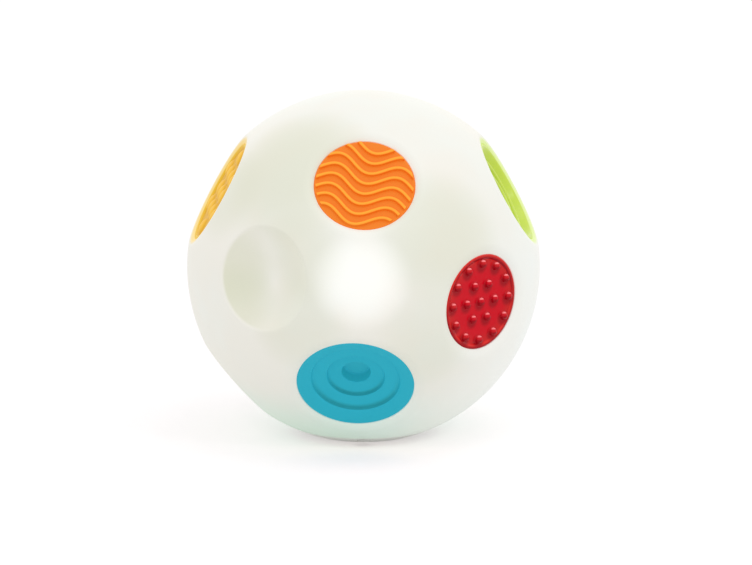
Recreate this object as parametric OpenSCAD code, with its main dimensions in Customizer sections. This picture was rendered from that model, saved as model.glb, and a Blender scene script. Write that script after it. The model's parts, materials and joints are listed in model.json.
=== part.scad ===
// A light-up sensory ball. A hollow translucent shell holds five soft textured
// pads in round pockets. A light module closes the bottom and carries the cells,
// the board and a dome that spreads the light near the middle of the ball.
// Millimetres. The ball stands on z = 0, +Z is up, and -Y is its front.

/* [Ball] */
// Outside diameter of the ball
ball_d = 130; // [124:1:150]
// Thickness of the moulded shell
shell_wall = 2.4; // [2:0.1:3]
// Radius of the flat that the ball stands on
flat_r = 19; // [18.5:0.1:20]
// Radius of the soft rounding round each pocket
lip_r = 5; // [3:0.1:6]
// How much of the rounding lies outside the wall of the pocket, as a share of its radius
lip_share = 0.5; // [0.4:0.05:0.8]
// How far the edge of a pad lies below the lip of its pocket
pad_recess = 0.6; // [0.3:0.1:1.2]

/* [Dimples] */
// Radius of a finger dimple at its rim
dimple_r = 19.3; // [15:0.1:20]
// Depth of a finger dimple below its rim
dimple_depth = 6.5; // [4:0.1:8]

/* [Pads] */
// Thickness of a pad at its edge
pad_t = 4.2; // [3.6:0.1:5]
// Gap between a pad and the wall of its pocket
pad_gap = 0.1; // [0.05:0.05:0.2]
// Radius of the rounding on the edge of a pad
pad_edge_r = 0.6; // [0.3:0.1:1]
// Radius of the stem that holds a pad in its pocket
stem_r = 4; // [3:0.1:5]
// How far the barb on a stem stands out behind the pocket
barb_out = 1.2; // [0.8:0.1:1.6]
// Length of the barb
barb_len = 3.2; // [2.4:0.1:4]

/* [Wave pad] */
// Radius of the orange pad
wave_pad_r = 18.5; // [17:0.1:20]
// Azimuth of the orange pad, from the front towards +X
wave_pad_azimuth_angle = 0.5; // [-3:0.5:3]
// Elevation of the orange pad
wave_pad_elevation_angle = 41; // [38:0.5:46]
// Distance from one wavy ridge to the next
wave_pitch = 4.35; // [3.6:0.05:6]
// Length of one wave
wave_length = 22.9; // [18:0.1:28]
// Height of a wave from its middle line to its crest
wave_amp = 2.75; // [1.5:0.05:3.5]
// Width of a wavy ridge
ridge_w = 1.3; // [0.9:0.1:1.8]
// Height of a wavy ridge above the pad
ridge_h = 1.1; // [0.6:0.1:1.5]
// Angle at which the waves slope down to the right
wave_tilt = -16; // [-30:1:30]
// Angle in its cycle at which a wave crosses the middle of the pad
wave_phase = 273; // [0:1:360]
// Distance from the middle of the pad to the nearest ridge's middle line
wave_shift = -1.2; // [-2:0.1:2]

/* [Nub pad] */
// Radius of the red pad
nub_pad_r = 17.8; // [16.5:0.1:20]
// Azimuth of the red pad
nub_pad_azimuth_angle = 45; // [42:0.5:48]
// Elevation of the red pad
nub_pad_elevation_angle = -4; // [-8:0.5:0]
// Distance between the rings of nubs
nub_step = 7.15; // [6:0.05:7.3]
// Radius of a nub
nub_r = 1.5; // [1.2:0.1:1.8]
// Height of a nub over the floor that it stands on
nub_h = 2; // [1.8:0.1:2.6]
// Width of the raised border of the red pad
nub_border_w = 1.7; // [0.9:0.1:1.9]
// Depth of the floor of the red pad below its border
nub_floor_depth = 0.6; // [0.3:0.1:1]

/* [Step pad] */
// Radius of the blue pad
step_pad_r = 21.5; // [20:0.1:22.5]
// Azimuth of the blue pad
step_pad_azimuth_angle = -3.5; // [-6:0.5:6]
// Width of the shell between the cap and the pocket of the blue pad
step_web = 8; // [7.3:0.1:9.3]
// Depth of the hole in the middle of the steps
crater_depth = 10.5; // [8:0.1:12]
// Thickness of the blue pad under its steps
crater_wall = 2.2; // [1.6:0.1:3]

/* [Bump pad] */
// Radius of the yellow pad
bump_pad_r = 19.7; // [18:0.1:20.5]
// Azimuth of the yellow pad
bump_pad_azimuth_angle = -87.5; // [-92:0.5:-86]
// Elevation of the yellow pad
bump_pad_elevation_angle = 28.5; // [26:0.5:32]
// Distance between neighbouring bumps
bump_step = 8.4; // [7.6:0.1:8.6]
// Radius of a bump where it meets the pad
bump_r = 3.7; // [3:0.1:3.8]
// Height of a bump
bump_h = 1.3; // [0.9:0.1:1.8]
// Width of the border round the bumps
bump_border_w = 1.3; // [0.8:0.1:1.4]
// Depth of the floor that the bumps stand on, below the border
bump_floor_depth = 0.9; // [0.5:0.1:1.4]

/* [Ring pad] */
// Radius of the green pad
ring_pad_r = 19.8; // [18:0.1:20.5]
// Azimuth of the green pad
ring_pad_azimuth_angle = 87.5; // [85:0.5:91]
// Elevation of the green pad
ring_pad_elevation_angle = 28.5; // [26:0.5:32]
// Radius of the large raised ring
ring_big_r = 14.2; // [11:0.1:15]
// Radius of the small raised ring
ring_small_r = 6.4; // [5:0.1:8]
// Radius of a raised ring's own round section
ring_bead_r = 1; // [0.8:0.1:1.4]
// Width of the border round the green pad's dish
ring_border_w = 1.2; // [0.8:0.1:1.6]
// Radius of the flat floor of the dish
ring_floor_r = 16.4; // [16.1:0.1:17]
// Depth of the dish
ring_dish_depth = 3; // [2:0.1:3]

/* [Base] */
// Width of the cap's rim outside the heads of its screws
cap_edge = 0.8; // [0.6:0.1:1.2]
// Thickness of the cap
cap_t = 6; // [5.8:0.1:6.6]
// Gap between the cap and the shell round it
cap_gap = 0.2; // [0.1:0.05:0.4]
// Thickness of the seal between the cap and the shell
cap_seal_t = 0.8; // [0.5:0.1:1.2]
// Gap round the dome as the light module passes into the shell
neck_gap = 0.8; // [0.6:0.1:1]
// Number of cap screws
cap_screw_count = 3; // [3, 6]

/* [Battery door] */
// How far the battery door laps past its seal
door_lap = 0.9; // [0.7:0.1:1]
// Thickness of the battery door
door_t = 2.2; // [2:0.1:2.4]
// Gap round the door
door_gap = 0.3; // [0.2:0.05:0.35]
// How far the door lies above the surface that the ball stands on
door_inset = 0.3; // [0.2:0.1:0.5]
// Thickness of the door seal
door_seal_t = 0.8; // [0.6:0.1:1]
// Gap between the cell tube and the boss of a door screw
door_boss_gap = 0.2; // [0.1:0.05:0.3]
// Wall of the ear round the head of a door screw
ear_wall = 0.9; // [0.7:0.1:1]
// How far a captive door screw backs out
screw_travel = 2.6; // [2:0.1:2.8]

/* [Screws] */
// Radius of a door screw's shank
screw_r = 1.3; // [1.1:0.05:1.35]
// Radius of a screw's head
screw_head_r = 2.2; // [2:0.1:2.3]
// Thickness of a screw's head
screw_head_t = 1.3; // [1:0.1:1.5]
// Length of a cap screw under its head
cap_screw_len = 10; // [8:0.5:11]
// Length of a door screw under its head
door_screw_len = 10.8; // [9:0.1:12]
// Running gap between a door screw and its bores
screw_play = 0.08; // [0.04:0.01:0.1]
// Radius of a board screw's shank
board_screw_r = 0.8; // [0.6:0.1:1]

/* [Cells] */
// Diameter of a cell
cell_d = 10.5; // [10.3:0.1:10.5]
// Length of a cell with its nub
cell_len = 44.5; // [43:0.5:46]
// Gap between two cells
cell_gap = 0.4; // [0.2:0.1:0.5]
// Length of a contact spring as fitted
spring_len = 4; // [3:0.1:5]
// Thickness of the contact plates
plate_t = 0.4; // [0.3:0.05:0.5]
// Wall of the tube that holds the cells
tube_wall = 1.6; // [1.2:0.1:1.7]

/* [Light module] */
// How far the dome over the lamps stands out past the cell tube
dome_rim = 5.7; // [5.4:0.1:6]
// Wall of the dome
dome_wall = 1.4; // [1:0.1:1.8]
// Thickness of the plate that carries the board
head_t = 2; // [1.6:0.1:2.4]
// Height of the posts under the board
post_h = 2.2; // [2:0.1:3]
// Thickness of the circuit board
board_t = 1.6; // [1:0.1:2]
// Radius of a lamp
lamp_r = 2.5; // [1.5:0.1:2.8]
// Height of a lamp over the board
lamp_h = 5.2; // [4:0.1:7]
// Radius of the ball in the motion switch
motion_ball_r = 1.6; // [1.2:0.1:1.8]
// How far the ball in the motion switch can jump
motion_travel = 1.8; // [1:0.1:3]
// How far the power slider moves
slider_travel = 3; // [2:0.1:3]

/* [Hidden] */
fine = 120;
round = 64;
small = 32;

// Overrun of a cut past the face that it leaves by
cut = 1;
// How far a raised form is rooted in the piece under it
root = 0.4;
// How little a lip's circle stands proud of the ball, so that the two cross
lip_proud = 0.01;

// The ball
ball_r = ball_d / 2;
centre_z = sqrt(pow(ball_r, 2) - pow(flat_r, 2));
inner_r = ball_r - shell_wall;

// The dimples: where they lie, as azimuth and elevation, and the sphere that presses each one in
dimple_places = [[-36, 5.5], [-88, -42], [134, -3], [-134, -3], [180, 38], [180, -39]];
dimple_sphere_r = (pow(dimple_r, 2) + pow(dimple_depth, 2)) / (2 * dimple_depth);
dimple_rim_d = sqrt(pow(ball_r, 2) - pow(dimple_r, 2));
dimple_centre_d = dimple_rim_d - dimple_depth + dimple_sphere_r;

// The pockets: distances from the centre of the ball, for a pad of radius r
function lip_x(r) = r + pad_gap + lip_share * lip_r;
function lip_centre_d(r) = sqrt(pow(ball_r - lip_r + lip_proud, 2) - pow(lip_x(r), 2));
function edge_d(r) = lip_centre_d(r) + lip_r - pad_recess;
function floor_d(r) = edge_d(r) - pad_t;

// Where the pads lie, as azimuth and elevation
function lip_angle(r) = asin(lip_x(r) / (ball_r - lip_r));
wave_place = [wave_pad_azimuth_angle, wave_pad_elevation_angle];
nub_place = [nub_pad_azimuth_angle, nub_pad_elevation_angle];
bump_place = [bump_pad_azimuth_angle, bump_pad_elevation_angle];
ring_place = [ring_pad_azimuth_angle, ring_pad_elevation_angle];

// The stem that fits the blue pad's deep cup
cup_shares = [0.761, 0.743, 0.495, 0.477, 0.248, 0.239];
cup_depth_shares = [0.2, 0.285, 0.36, 0.455, 0.56, 1];
cup_r = step_pad_r * cup_shares[3] + crater_wall;

// The cell tube
cell_circle_r = (cell_d + cell_gap) / sqrt(3);
cell_wall_gap = 0.36;
cell_azimuths = [90, 210, 330];
nub_contact_r = 1.9;
nub_contact_h = 1;
bore_r = cell_circle_r + cell_d / 2 + cell_wall_gap;
tube_r = bore_r + tube_wall;
dome_r = tube_r + dome_rim;

// The cap and what stands on it
seat_z = cap_t + cap_seal_t;
neck_r = dome_r + neck_gap;
cap_seal_edge = 0.6;
cap_boss_r = 3.2;
cap_boss_h = 6.4;
cap_boss_edge = 0.4;
cap_screw_r = 1.25;
cap_screw_play = 0.2;
cap_screw_web = 2;
cap_screw_seat_z = cap_t - cap_screw_web;
cap_screw_start = 30;
cap_screw_head_gap = 0.4;
cap_screw_circle_r = neck_r + cap_boss_edge + cap_boss_r;
cap_r = cap_screw_circle_r + screw_head_r + cap_screw_head_gap + cap_edge;
boss_end = 0.6;

// The blue pad lies a web above the cap
cap_angle = asin((cap_r + cap_gap) / ball_r);
step_web_angle = step_web / ball_r * 180 / PI;
step_place = [step_pad_azimuth_angle, cap_angle + step_web_angle + lip_angle(step_pad_r) - 90];

// Heights along the module
door_top_z = door_inset + door_t;
ledge_z = door_top_z + door_seal_t;
contact_z = door_top_z + plate_t;
head_contact_z = contact_z + spring_len + cell_len;
head_z = head_contact_z + plate_t;
head_top_z = head_z + head_t;
board_z = head_top_z + post_h;
board_top_z = board_z + board_t;
dome_skirt_h = 1.8;
dome_centre_z = head_top_z + dome_skirt_h;

// The door seal, the ears and the captive screws
seal_in = 0.3;
door_seal_w = 1.3;
door_seal_r = bore_r + seal_in;
door_r = door_seal_r + door_seal_w + door_lap;
head_play = 0.3;
ear_r = screw_head_r + head_play + ear_wall;
keeper_t = 0.6;
keeper_r = 2.1;
keeper_groove_r = 0.95;
keeper_play = 0.05;
keeper_z = door_top_z + screw_travel + keeper_play;
keeper_room_z = keeper_z + keeper_t + head_play;
screw_head_inset = 0.2;
door_screw_seat_z = door_inset + screw_head_t + screw_head_inset;
keeper_wall = 0.8;
keeper_mouth_share = 1.6;
door_boss_r = keeper_r + head_play + keeper_wall;
door_boss_wall = 1.2;
door_screw_y = tube_r + door_boss_gap + door_boss_wall + screw_r;
cross_reach_share = 0.62;
screw_slot_w = 0.7;
screw_slot_depth = 0.7;
screw_tip_gap = 0.8;

// The contacts
contact_pad_r = 4;
contact_bar_w = 4;
contact_edge = 0.3;
strip_t = 0.4;
strip_w = 4;
strip_x = bore_r - strip_t - contact_edge;
strip_az = 30;
slot_play = 0.1;
pin_r = 0.5;
pin_proud = 0.5;
coil_r = 2.9;
coil_wire_r = 0.35;
coil_turns = 3.5;
coil_steps = 14;
coil_sides = 6;

// The board and what it carries
dome_inner_r = dome_r - dome_wall;
collar_gap = 0.1;
collar_w = 1.2;
collar_h = 1.6;
collar_r = dome_inner_r - collar_gap;
snap_r = 0.3;
board_edge = 0.6;
board_r = dome_inner_r - board_edge;
post_r = 1.9;
post_circle_r = collar_r - collar_w - post_r - collar_gap * 2;
board_screw_head_r = 1.5;
board_screw_head_t = 1.1;
board_screw_depth = 2.9;
lamp_count = 4;
lamp_circle_r = board_r / 2;
lamp_foot_h = 1;
lamp_foot_out = 0.4;
lamp_foot_r = lamp_r + lamp_foot_out;
chip_w = 7;
chip_t = 1.6;
can_wall = 0.4;
can_play = 0.35;
can_r = motion_ball_r + can_play + can_wall;
can_gap = 0.05;
can_h = 2 * motion_ball_r + motion_travel + 2 * can_gap + can_wall;
can_edge = 3.85;
can_y = can_r + can_edge - board_r;

// The power switch, on the -X side, under the leads that pass up to the board's edge
lead_r = 0.45;
lead_edge = 1.6;
lead_x = board_r - lead_edge;
lead_inset = 0.8;
lead_y = 2.2;
lead_play = 0.15;
switch_w = 4.4;
switch_x = lead_x + switch_w / 2 - lead_inset;
switch_l = 8.4;
switch_h = 4.4;
slider_gap = 0.3;
stem_w = 1.2;
stem_l = 2;
stem_rise = 1.8;
knob_w = 2.4;
knob_l = 3.4;
knob_inset = 0.7;
knob_h = 1.5;
grip_count = 3;
grip_w = 0.4;
grip_h = 0.3;
fence_t = 0.8;
fence_h = 2.4;

// Placing

// Turns a child's +Z to point out of the ball at a place's azimuth and elevation
module facing(place) {
    translate([0, 0, centre_z])
        rotate([90 - place[1], 0, place[0]])
            children();
}

// Sets a child over the axis of one cell
module at_cell(i) {
    rotate([0, 0, cell_azimuths[i]])
        translate([cell_circle_r, 0, 0])
            children();
}

// Copies a child round the axis
module ring_of(count, radius, start = 0) {
    for (i = [0 : count - 1])
        rotate([0, 0, start + i * 360 / count])
            translate([radius, 0, 0])
                children();
}

function cell_point(i) = cell_circle_r * [cos(cell_azimuths[i]), sin(cell_azimuths[i])];

// A flat bar of width w between two points
module bar(p, q, w) {
    along = q - p;
    translate(p)
        rotate(atan2(along[1], along[0]))
            translate([0, -w / 2])
                square([norm(along), w]);
}

// The shell

// What a pocket takes out of the shell: the recess, its rounded lip and the bore
module pocket(r, bore) {
    wall = r + pad_gap;
    x = lip_x(r);
    y = lip_centre_d(r);
    reach = ball_r / (ball_r - lip_r);
    rotate_extrude($fn = fine)
        difference() {
            polygon([[0, floor_d(r)], [wall, floor_d(r)], [wall, y], [x, y],
                [x * reach, y * reach], [x * reach, ball_r + cut], [0, ball_r + cut]]);
            intersection() {
                translate([x, y])
                    circle(r = lip_r, $fn = small);
                translate([wall, 0])
                    square([2 * lip_r, ball_r]);
            }
        }
    translate([0, 0, floor_d(r) - shell_wall - cut])
        cylinder(r = bore, h = shell_wall + 2 * cut, $fn = round);
}

// The cup of shell material that stands behind a pocket
module pocket_back(r) {
    base = floor_d(r) - shell_wall;
    translate([0, 0, base])
        cylinder(r = r + pad_gap + shell_wall, h = ball_r - base, $fn = fine);
}

module all_pockets() {
    facing(wave_place) pocket(wave_pad_r, stem_r + pad_gap);
    facing(nub_place) pocket(nub_pad_r, stem_r + pad_gap);
    facing(step_place) pocket(step_pad_r, cup_r + pad_gap);
    facing(bump_place) pocket(bump_pad_r, stem_r + pad_gap);
    facing(ring_place) pocket(ring_pad_r, stem_r + pad_gap);
}

module all_pocket_backs() {
    facing(wave_place) pocket_back(wave_pad_r);
    facing(nub_place) pocket_back(nub_pad_r);
    facing(step_place) pocket_back(step_pad_r);
    facing(bump_place) pocket_back(bump_pad_r);
    facing(ring_place) pocket_back(ring_pad_r);
}

module dimples(extra) {
    for (place = dimple_places)
        facing(place)
            translate([0, 0, dimple_centre_d])
                sphere(r = dimple_sphere_r + extra, $fn = fine);
}

module ball_shell() {
    color("ivory")
        difference() {
            translate([0, 0, centre_z])
                sphere(r = ball_r, $fn = fine);
            // The hollow inside, less what stands into it
            difference() {
                translate([0, 0, centre_z])
                    sphere(r = inner_r, $fn = fine);
                all_pocket_backs();
                dimples(shell_wall);
                translate([0, 0, centre_z - ball_r])
                    cylinder(r = cap_r + cap_gap + shell_wall,
                        h = seat_z + shell_wall - centre_z + ball_r, $fn = fine);
                ring_of(cap_screw_count, cap_screw_circle_r, cap_screw_start)
                    cylinder(r = cap_boss_r, h = seat_z + shell_wall + cap_boss_h, $fn = small);
            }
            all_pockets();
            dimples(0);
            // The seat for the cap, the opening and the screw holes
            translate([0, 0, centre_z - ball_r - cut])
                cylinder(r = cap_r + cap_gap, h = seat_z - centre_z + ball_r + cut, $fn = fine);
            translate([0, 0, seat_z - cut])
                cylinder(r = neck_r, h = shell_wall + 2 * cut, $fn = fine);
            ring_of(cap_screw_count, cap_screw_circle_r, cap_screw_start)
                translate([0, 0, seat_z - cut])
                    cylinder(r = cap_screw_r, h = shell_wall + cap_boss_h + cut - boss_end, $fn = small);
        }
}

// The pads

// The round body of a pad, from the pocket's floor to its edge
module pad_section(r) {
    top = edge_d(r);
    base = floor_d(r);
    translate([0, base])
        square([r, pad_t - pad_edge_r]);
    translate([0, base])
        square([r - pad_edge_r, pad_t]);
    translate([r - pad_edge_r, top - pad_edge_r])
        circle(r = pad_edge_r, $fn = small);
}

// The stem and its barb, behind the pocket's floor
module stem_section(r, stem, base) {
    back = floor_d(r) - shell_wall;
    neck = back - barb_len / 2;
    polygon([[0, base], [stem, base], [stem, neck], [stem + barb_out, back], [stem, back],
        [stem, floor_d(r) + root], [0, floor_d(r) + root]]);
}

// Depth at which a plain stem ends
function stem_base(r) = floor_d(r) - shell_wall - barb_len;

module pad_blank(r) {
    rotate_extrude($fn = fine) {
        intersection() {
            pad_section(r);
            translate([0, floor_d(r)])
                square([r, pad_t]);
        }
        stem_section(r, stem_r, stem_base(r));
    }
}

// One wavy ridge seen from above, its middle line at height y
module wave_band(y) {
    reach = wave_pad_r + wave_pitch;
    steps = 2 * ceil(6 * reach / wave_length);
    xs = [for (i = [-steps : steps]) reach * i / steps];
    ys = [for (x = xs) y + wave_amp * sin(360 * x / wave_length + wave_phase)];
    slopes = [for (x = xs) wave_amp * 2 * PI / wave_length * cos(360 * x / wave_length + wave_phase)];
    half = [for (s = slopes) ridge_w / 2 * sqrt(1 + s * s)];
    count = len(xs);
    polygon([
        for (i = [0 : count - 1]) [xs[i], ys[i] + half[i]],
        for (i = [count - 1 : -1 : 0]) [xs[i], ys[i] - half[i]]]);
}

module wave_pad() {
    // The lowest row would only graze the edge of the pad, so it is left off
    rows = floor((wave_pad_r + wave_amp) / wave_pitch);
    color("darkorange")
        facing(wave_place) {
            pad_blank(wave_pad_r);
            translate([0, 0, edge_d(wave_pad_r) - root])
                linear_extrude(ridge_h + root)
                    intersection() {
                        rotate(wave_tilt)
                            for (k = [1 - rows : rows])
                                wave_band(wave_shift + k * wave_pitch);
                        circle(r = wave_pad_r - pad_edge_r, $fn = fine);
                    }
        }
}

module nub(base) {
    translate([0, 0, base - root])
        cylinder(r = nub_r, h = nub_h - nub_r + root, $fn = small);
    translate([0, 0, base + nub_h - nub_r])
        sphere(r = nub_r, $fn = small);
}

module nub_pad() {
    base = edge_d(nub_pad_r) - nub_floor_depth;
    color("crimson")
        facing(nub_place) {
            difference() {
                pad_blank(nub_pad_r);
                translate([0, 0, base])
                    cylinder(r = nub_pad_r - nub_border_w, h = nub_floor_depth + cut, $fn = fine);
            }
            nub(base);
            ring_of(6, nub_step) nub(base);
            ring_of(12, 2 * nub_step) nub(base);
        }
}

module step_pad() {
    top = edge_d(step_pad_r);
    steps = [for (i = [0 : len(cup_shares) - 1])
        [step_pad_r * cup_shares[i], top - crater_depth * cup_depth_shares[i]]];
    color("deepskyblue")
        facing(step_place)
            rotate_extrude($fn = fine)
                difference() {
                    union() {
                        intersection() {
                            pad_section(step_pad_r);
                            translate([0, floor_d(step_pad_r)])
                                square([step_pad_r, pad_t]);
                        }
                        // The cup passes through the pocket's floor and is barbed behind it
                        stem_section(step_pad_r, cup_r, top - crater_depth - crater_wall);
                    }
                    polygon(concat([[0, top + cut], [step_pad_r - pad_edge_r, top + cut],
                        [step_pad_r - pad_edge_r, top]], steps, [[0, top - crater_depth]]));
                }
}

module bump(top) {
    sphere_r = (pow(bump_r, 2) + pow(bump_h, 2)) / (2 * bump_h);
    translate([0, 0, top])
        intersection() {
            translate([0, 0, bump_h - sphere_r])
                sphere(r = sphere_r, $fn = round);
            translate([0, 0, -root])
                cylinder(r = 2 * bump_r, h = bump_h + 2 * root, $fn = small);
        }
}

module bump_pad() {
    base = edge_d(bump_pad_r) - bump_floor_depth;
    color("gold")
        facing(bump_place) {
            difference() {
                pad_blank(bump_pad_r);
                translate([0, 0, base])
                    cylinder(r = bump_pad_r - bump_border_w, h = bump_floor_depth + cut, $fn = fine);
            }
            bump(base);
            ring_of(6, bump_step) bump(base);
            ring_of(6, sqrt(3) * bump_step, 30) bump(base);
        }
}

module ring_pad() {
    top = edge_d(ring_pad_r);
    rim_r = ring_pad_r - ring_border_w;
    base = top - ring_dish_depth;
    color("yellowgreen")
        facing(ring_place)
            rotate_extrude($fn = fine) {
                difference() {
                    intersection() {
                        pad_section(ring_pad_r);
                        translate([0, floor_d(ring_pad_r)])
                            square([ring_pad_r, pad_t]);
                    }
                    polygon([[0, base], [ring_floor_r, base], [rim_r, top], [rim_r, top + cut], [0, top + cut]]);
                }
                stem_section(ring_pad_r, stem_r, stem_base(ring_pad_r));
                translate([ring_big_r, base])
                    circle(r = ring_bead_r, $fn = small);
                translate([ring_small_r, base])
                    circle(r = ring_bead_r, $fn = small);
            }
}

// The cap, the cell tube and the head that carries the board, in one moulding

// Outline of the battery door, grown by a margin
module door_outline(extra = 0) {
    circle(r = door_r + extra, $fn = fine);
    for (side = [-1, 1])
        translate([0, side * door_screw_y])
            circle(r = ear_r + extra, $fn = round);
}

module door_bosses() {
    top = door_screw_seat_z + door_screw_len + screw_tip_gap + door_boss_wall;
    for (side = [-1, 1])
        translate([0, side * door_screw_y, 0]) {
            translate([0, 0, ledge_z])
                cylinder(r = door_boss_r, h = keeper_room_z + door_boss_wall - ledge_z, $fn = round);
            translate([0, 0, ledge_z])
                cylinder(r = screw_r + door_boss_wall, h = top - ledge_z, $fn = round);
            rib = door_screw_y - tube_r + tube_wall / 2;
            translate([-tube_wall / 2, side > 0 ? -rib : 0, ledge_z])
                cube([tube_wall, rib, top - ledge_z]);
        }
}

module door_boss_bores() {
    for (side = [-1, 1])
        translate([0, side * door_screw_y, 0]) {
            translate([0, 0, ledge_z - cut])
                cylinder(r = keeper_r + head_play, h = keeper_room_z - ledge_z + cut, $fn = round);
            translate([0, 0, ledge_z])
                cylinder(r = screw_r + screw_play,
                    h = door_screw_seat_z + door_screw_len + screw_tip_gap - ledge_z, $fn = round);
        }
}

// A box whose middle lies on the power switch's own axis, from z0 to z1
module switch_box(w, l, z0, z1, shift = 0) {
    translate([-switch_x - w / 2, shift - l / 2, z0])
        cube([w, l, z1 - z0]);
}

module switch_fence() {
    for (side = [-1, 1])
        switch_box(switch_w, fence_t, cap_t - root, cap_t + fence_h, side * (switch_l + fence_t) / 2);
}

module switch_openings() {
    trough_z = knob_inset + knob_h + slider_gap;
    switch_box(knob_w + 2 * slider_gap, knob_l + slider_travel + 2 * slider_gap, -cut, trough_z);
    switch_box(stem_w + 2 * slider_gap, stem_l + slider_travel + 2 * slider_gap, trough_z - cut, cap_t + cut);
}

module strip_slot() {
    rotate([0, 0, strip_az])
        translate([strip_x - slot_play, -strip_w / 2 - slot_play, head_z - cut])
            cube([strip_t + 2 * slot_play, strip_w + 2 * slot_play, board_top_z - head_z + 2 * cut]);
}

module pin_hole() {
    at_cell(0)
        translate([0, 0, head_z - cut])
            cylinder(r = pin_r + slot_play, h = board_top_z - head_z + 2 * cut, $fn = small);
}

module lead_places() {
    for (side = [-1, 1])
        translate([-lead_x, side * lead_y, 0])
            children();
}

module base_housing() {
    color("whitesmoke")
        difference() {
            union() {
                intersection() {
                    translate([0, 0, centre_z])
                        sphere(r = ball_r, $fn = fine);
                    cylinder(r = cap_r, h = cap_t, $fn = fine);
                }
                translate([0, 0, ledge_z])
                    cylinder(r = tube_r, h = head_z - ledge_z + root, $fn = fine);
                translate([0, 0, head_z])
                    cylinder(r = dome_r, h = head_t, $fn = fine);
                // The collar that the dome snaps over
                translate([0, 0, head_top_z - root])
                    cylinder(r = collar_r, h = collar_h + root, $fn = fine);
                translate([0, 0, head_top_z + collar_h / 2])
                    rotate_extrude($fn = fine)
                        translate([collar_r, 0])
                            circle(r = snap_r, $fn = small);
                door_bosses();
                switch_fence();
            }
            // Inside the collar, round the posts
            difference() {
                translate([0, 0, head_top_z])
                    cylinder(r = collar_r - collar_w, h = collar_h + cut, $fn = fine);
                ring_of(3, post_circle_r, cell_azimuths[0])
                    cylinder(r = post_r, h = board_z, $fn = small);
            }
            translate([0, 0, ledge_z - cut])
                cylinder(r = bore_r, h = head_z - ledge_z + cut, $fn = fine);
            translate([0, 0, -cut])
                linear_extrude(ledge_z + cut)
                    door_outline(door_gap);
            door_boss_bores();
            ring_of(cap_screw_count, cap_screw_circle_r, cap_screw_start) {
                translate([0, 0, -cut])
                    cylinder(r = screw_head_r + cap_screw_head_gap, h = cap_screw_seat_z + cut, $fn = small);
                translate([0, 0, cap_screw_seat_z - cut])
                    cylinder(r = cap_screw_r + cap_screw_play, h = cap_t - cap_screw_seat_z + 2 * cut, $fn = small);
            }
            switch_openings();
            strip_slot();
            pin_hole();
            lead_places()
                translate([0, 0, head_z - cut])
                    cylinder(r = lead_r + lead_play, h = head_t + 2 * cut, $fn = small);
            ring_of(3, post_circle_r, cell_azimuths[0])
                translate([0, 0, board_top_z - board_screw_depth - board_t])
                    cylinder(r = board_screw_r, h = board_t + board_screw_depth, $fn = small);
        }
    // The posts under the board
    color("whitesmoke")
        ring_of(3, post_circle_r, cell_azimuths[0])
            difference() {
                translate([0, 0, head_top_z])
                    cylinder(r = post_r, h = post_h, $fn = small);
                translate([0, 0, head_top_z - cut])
                    cylinder(r = board_screw_r, h = post_h + 2 * cut, $fn = small);
            }
}

module cap_seal() {
    color("gray")
        translate([0, 0, cap_t])
            linear_extrude(cap_seal_t)
                difference() {
                    circle(r = cap_r - cap_seal_edge, $fn = fine);
                    circle(r = neck_r + cap_seal_edge, $fn = fine);
                    ring_of(cap_screw_count, cap_screw_circle_r, cap_screw_start)
                        circle(r = cap_screw_r + 2 * cap_screw_play, $fn = small);
                }
}

// A pan-headed screw with a cross recess, its head's seat at z = 0 and its head down
module screw(shank, head, head_h, length) {
    difference() {
        union() {
            translate([0, 0, -head_h])
                cylinder(r = head, h = head_h, $fn = small);
            translate([0, 0, -root])
                cylinder(r = shank, h = length + root, $fn = small);
        }
        for (turn = [0, 90])
            rotate([0, 0, turn])
                translate([-head * cross_reach_share, -screw_slot_w * head / screw_head_r / 2, -head_h - cut])
                    cube([2 * head * cross_reach_share, screw_slot_w * head / screw_head_r,
                        screw_slot_depth * head_h / screw_head_t + cut]);
    }
}

module cap_screws() {
    color("silver")
        ring_of(cap_screw_count, cap_screw_circle_r, cap_screw_start)
            translate([0, 0, cap_screw_seat_z])
                screw(cap_screw_r, screw_head_r, screw_head_t, cap_screw_len);
}

// The battery door and what rides on it

module battery_door() {
    color("whitesmoke")
        difference() {
            translate([0, 0, door_inset])
                linear_extrude(door_t)
                    door_outline();
            for (side = [-1, 1])
                translate([0, side * door_screw_y, 0]) {
                    translate([0, 0, door_inset - cut])
                        cylinder(r = screw_head_r + head_play, h = door_screw_seat_z - door_inset + cut, $fn = small);
                    translate([0, 0, door_inset])
                        cylinder(r = screw_r + screw_play, h = door_t + cut, $fn = small);
                }
        }
}

module door_seal() {
    color("gray")
        translate([0, 0, door_top_z])
            difference() {
                cylinder(r = door_seal_r + door_seal_w, h = door_seal_t, $fn = fine);
                translate([0, 0, -cut])
                    cylinder(r = door_seal_r, h = door_seal_t + 2 * cut, $fn = fine);
            }
}

// A captive door screw, with the groove that its keeper sits in
module door_screw(side) {
    color("silver")
        translate([0, side * door_screw_y, door_screw_seat_z])
            difference() {
                screw(screw_r, screw_head_r, screw_head_t, door_screw_len);
                translate([0, 0, keeper_z - door_screw_seat_z - keeper_play])
                    difference() {
                        cylinder(r = screw_r + cut, h = keeper_t + 2 * keeper_play, $fn = small);
                        translate([0, 0, -cut])
                            cylinder(r = keeper_groove_r, h = keeper_t + 2 * cut + 2 * keeper_play, $fn = small);
                    }
            }
}

module door_screw_front() {
    door_screw(-1);
}

module door_screw_back() {
    door_screw(1);
}

// The open ring that keeps a door screw in the door
module screw_keeper(side) {
    mouth = keeper_groove_r * keeper_mouth_share;
    color("dimgray")
        translate([0, side * door_screw_y, keeper_z])
            difference() {
                cylinder(r = keeper_r, h = keeper_t, $fn = small);
                translate([0, 0, -cut])
                    cylinder(r = keeper_groove_r + keeper_play, h = keeper_t + 2 * cut, $fn = small);
                translate([0, -mouth / 2, -cut])
                    cube([keeper_r + cut, mouth, keeper_t + 2 * cut]);
            }
}

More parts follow.
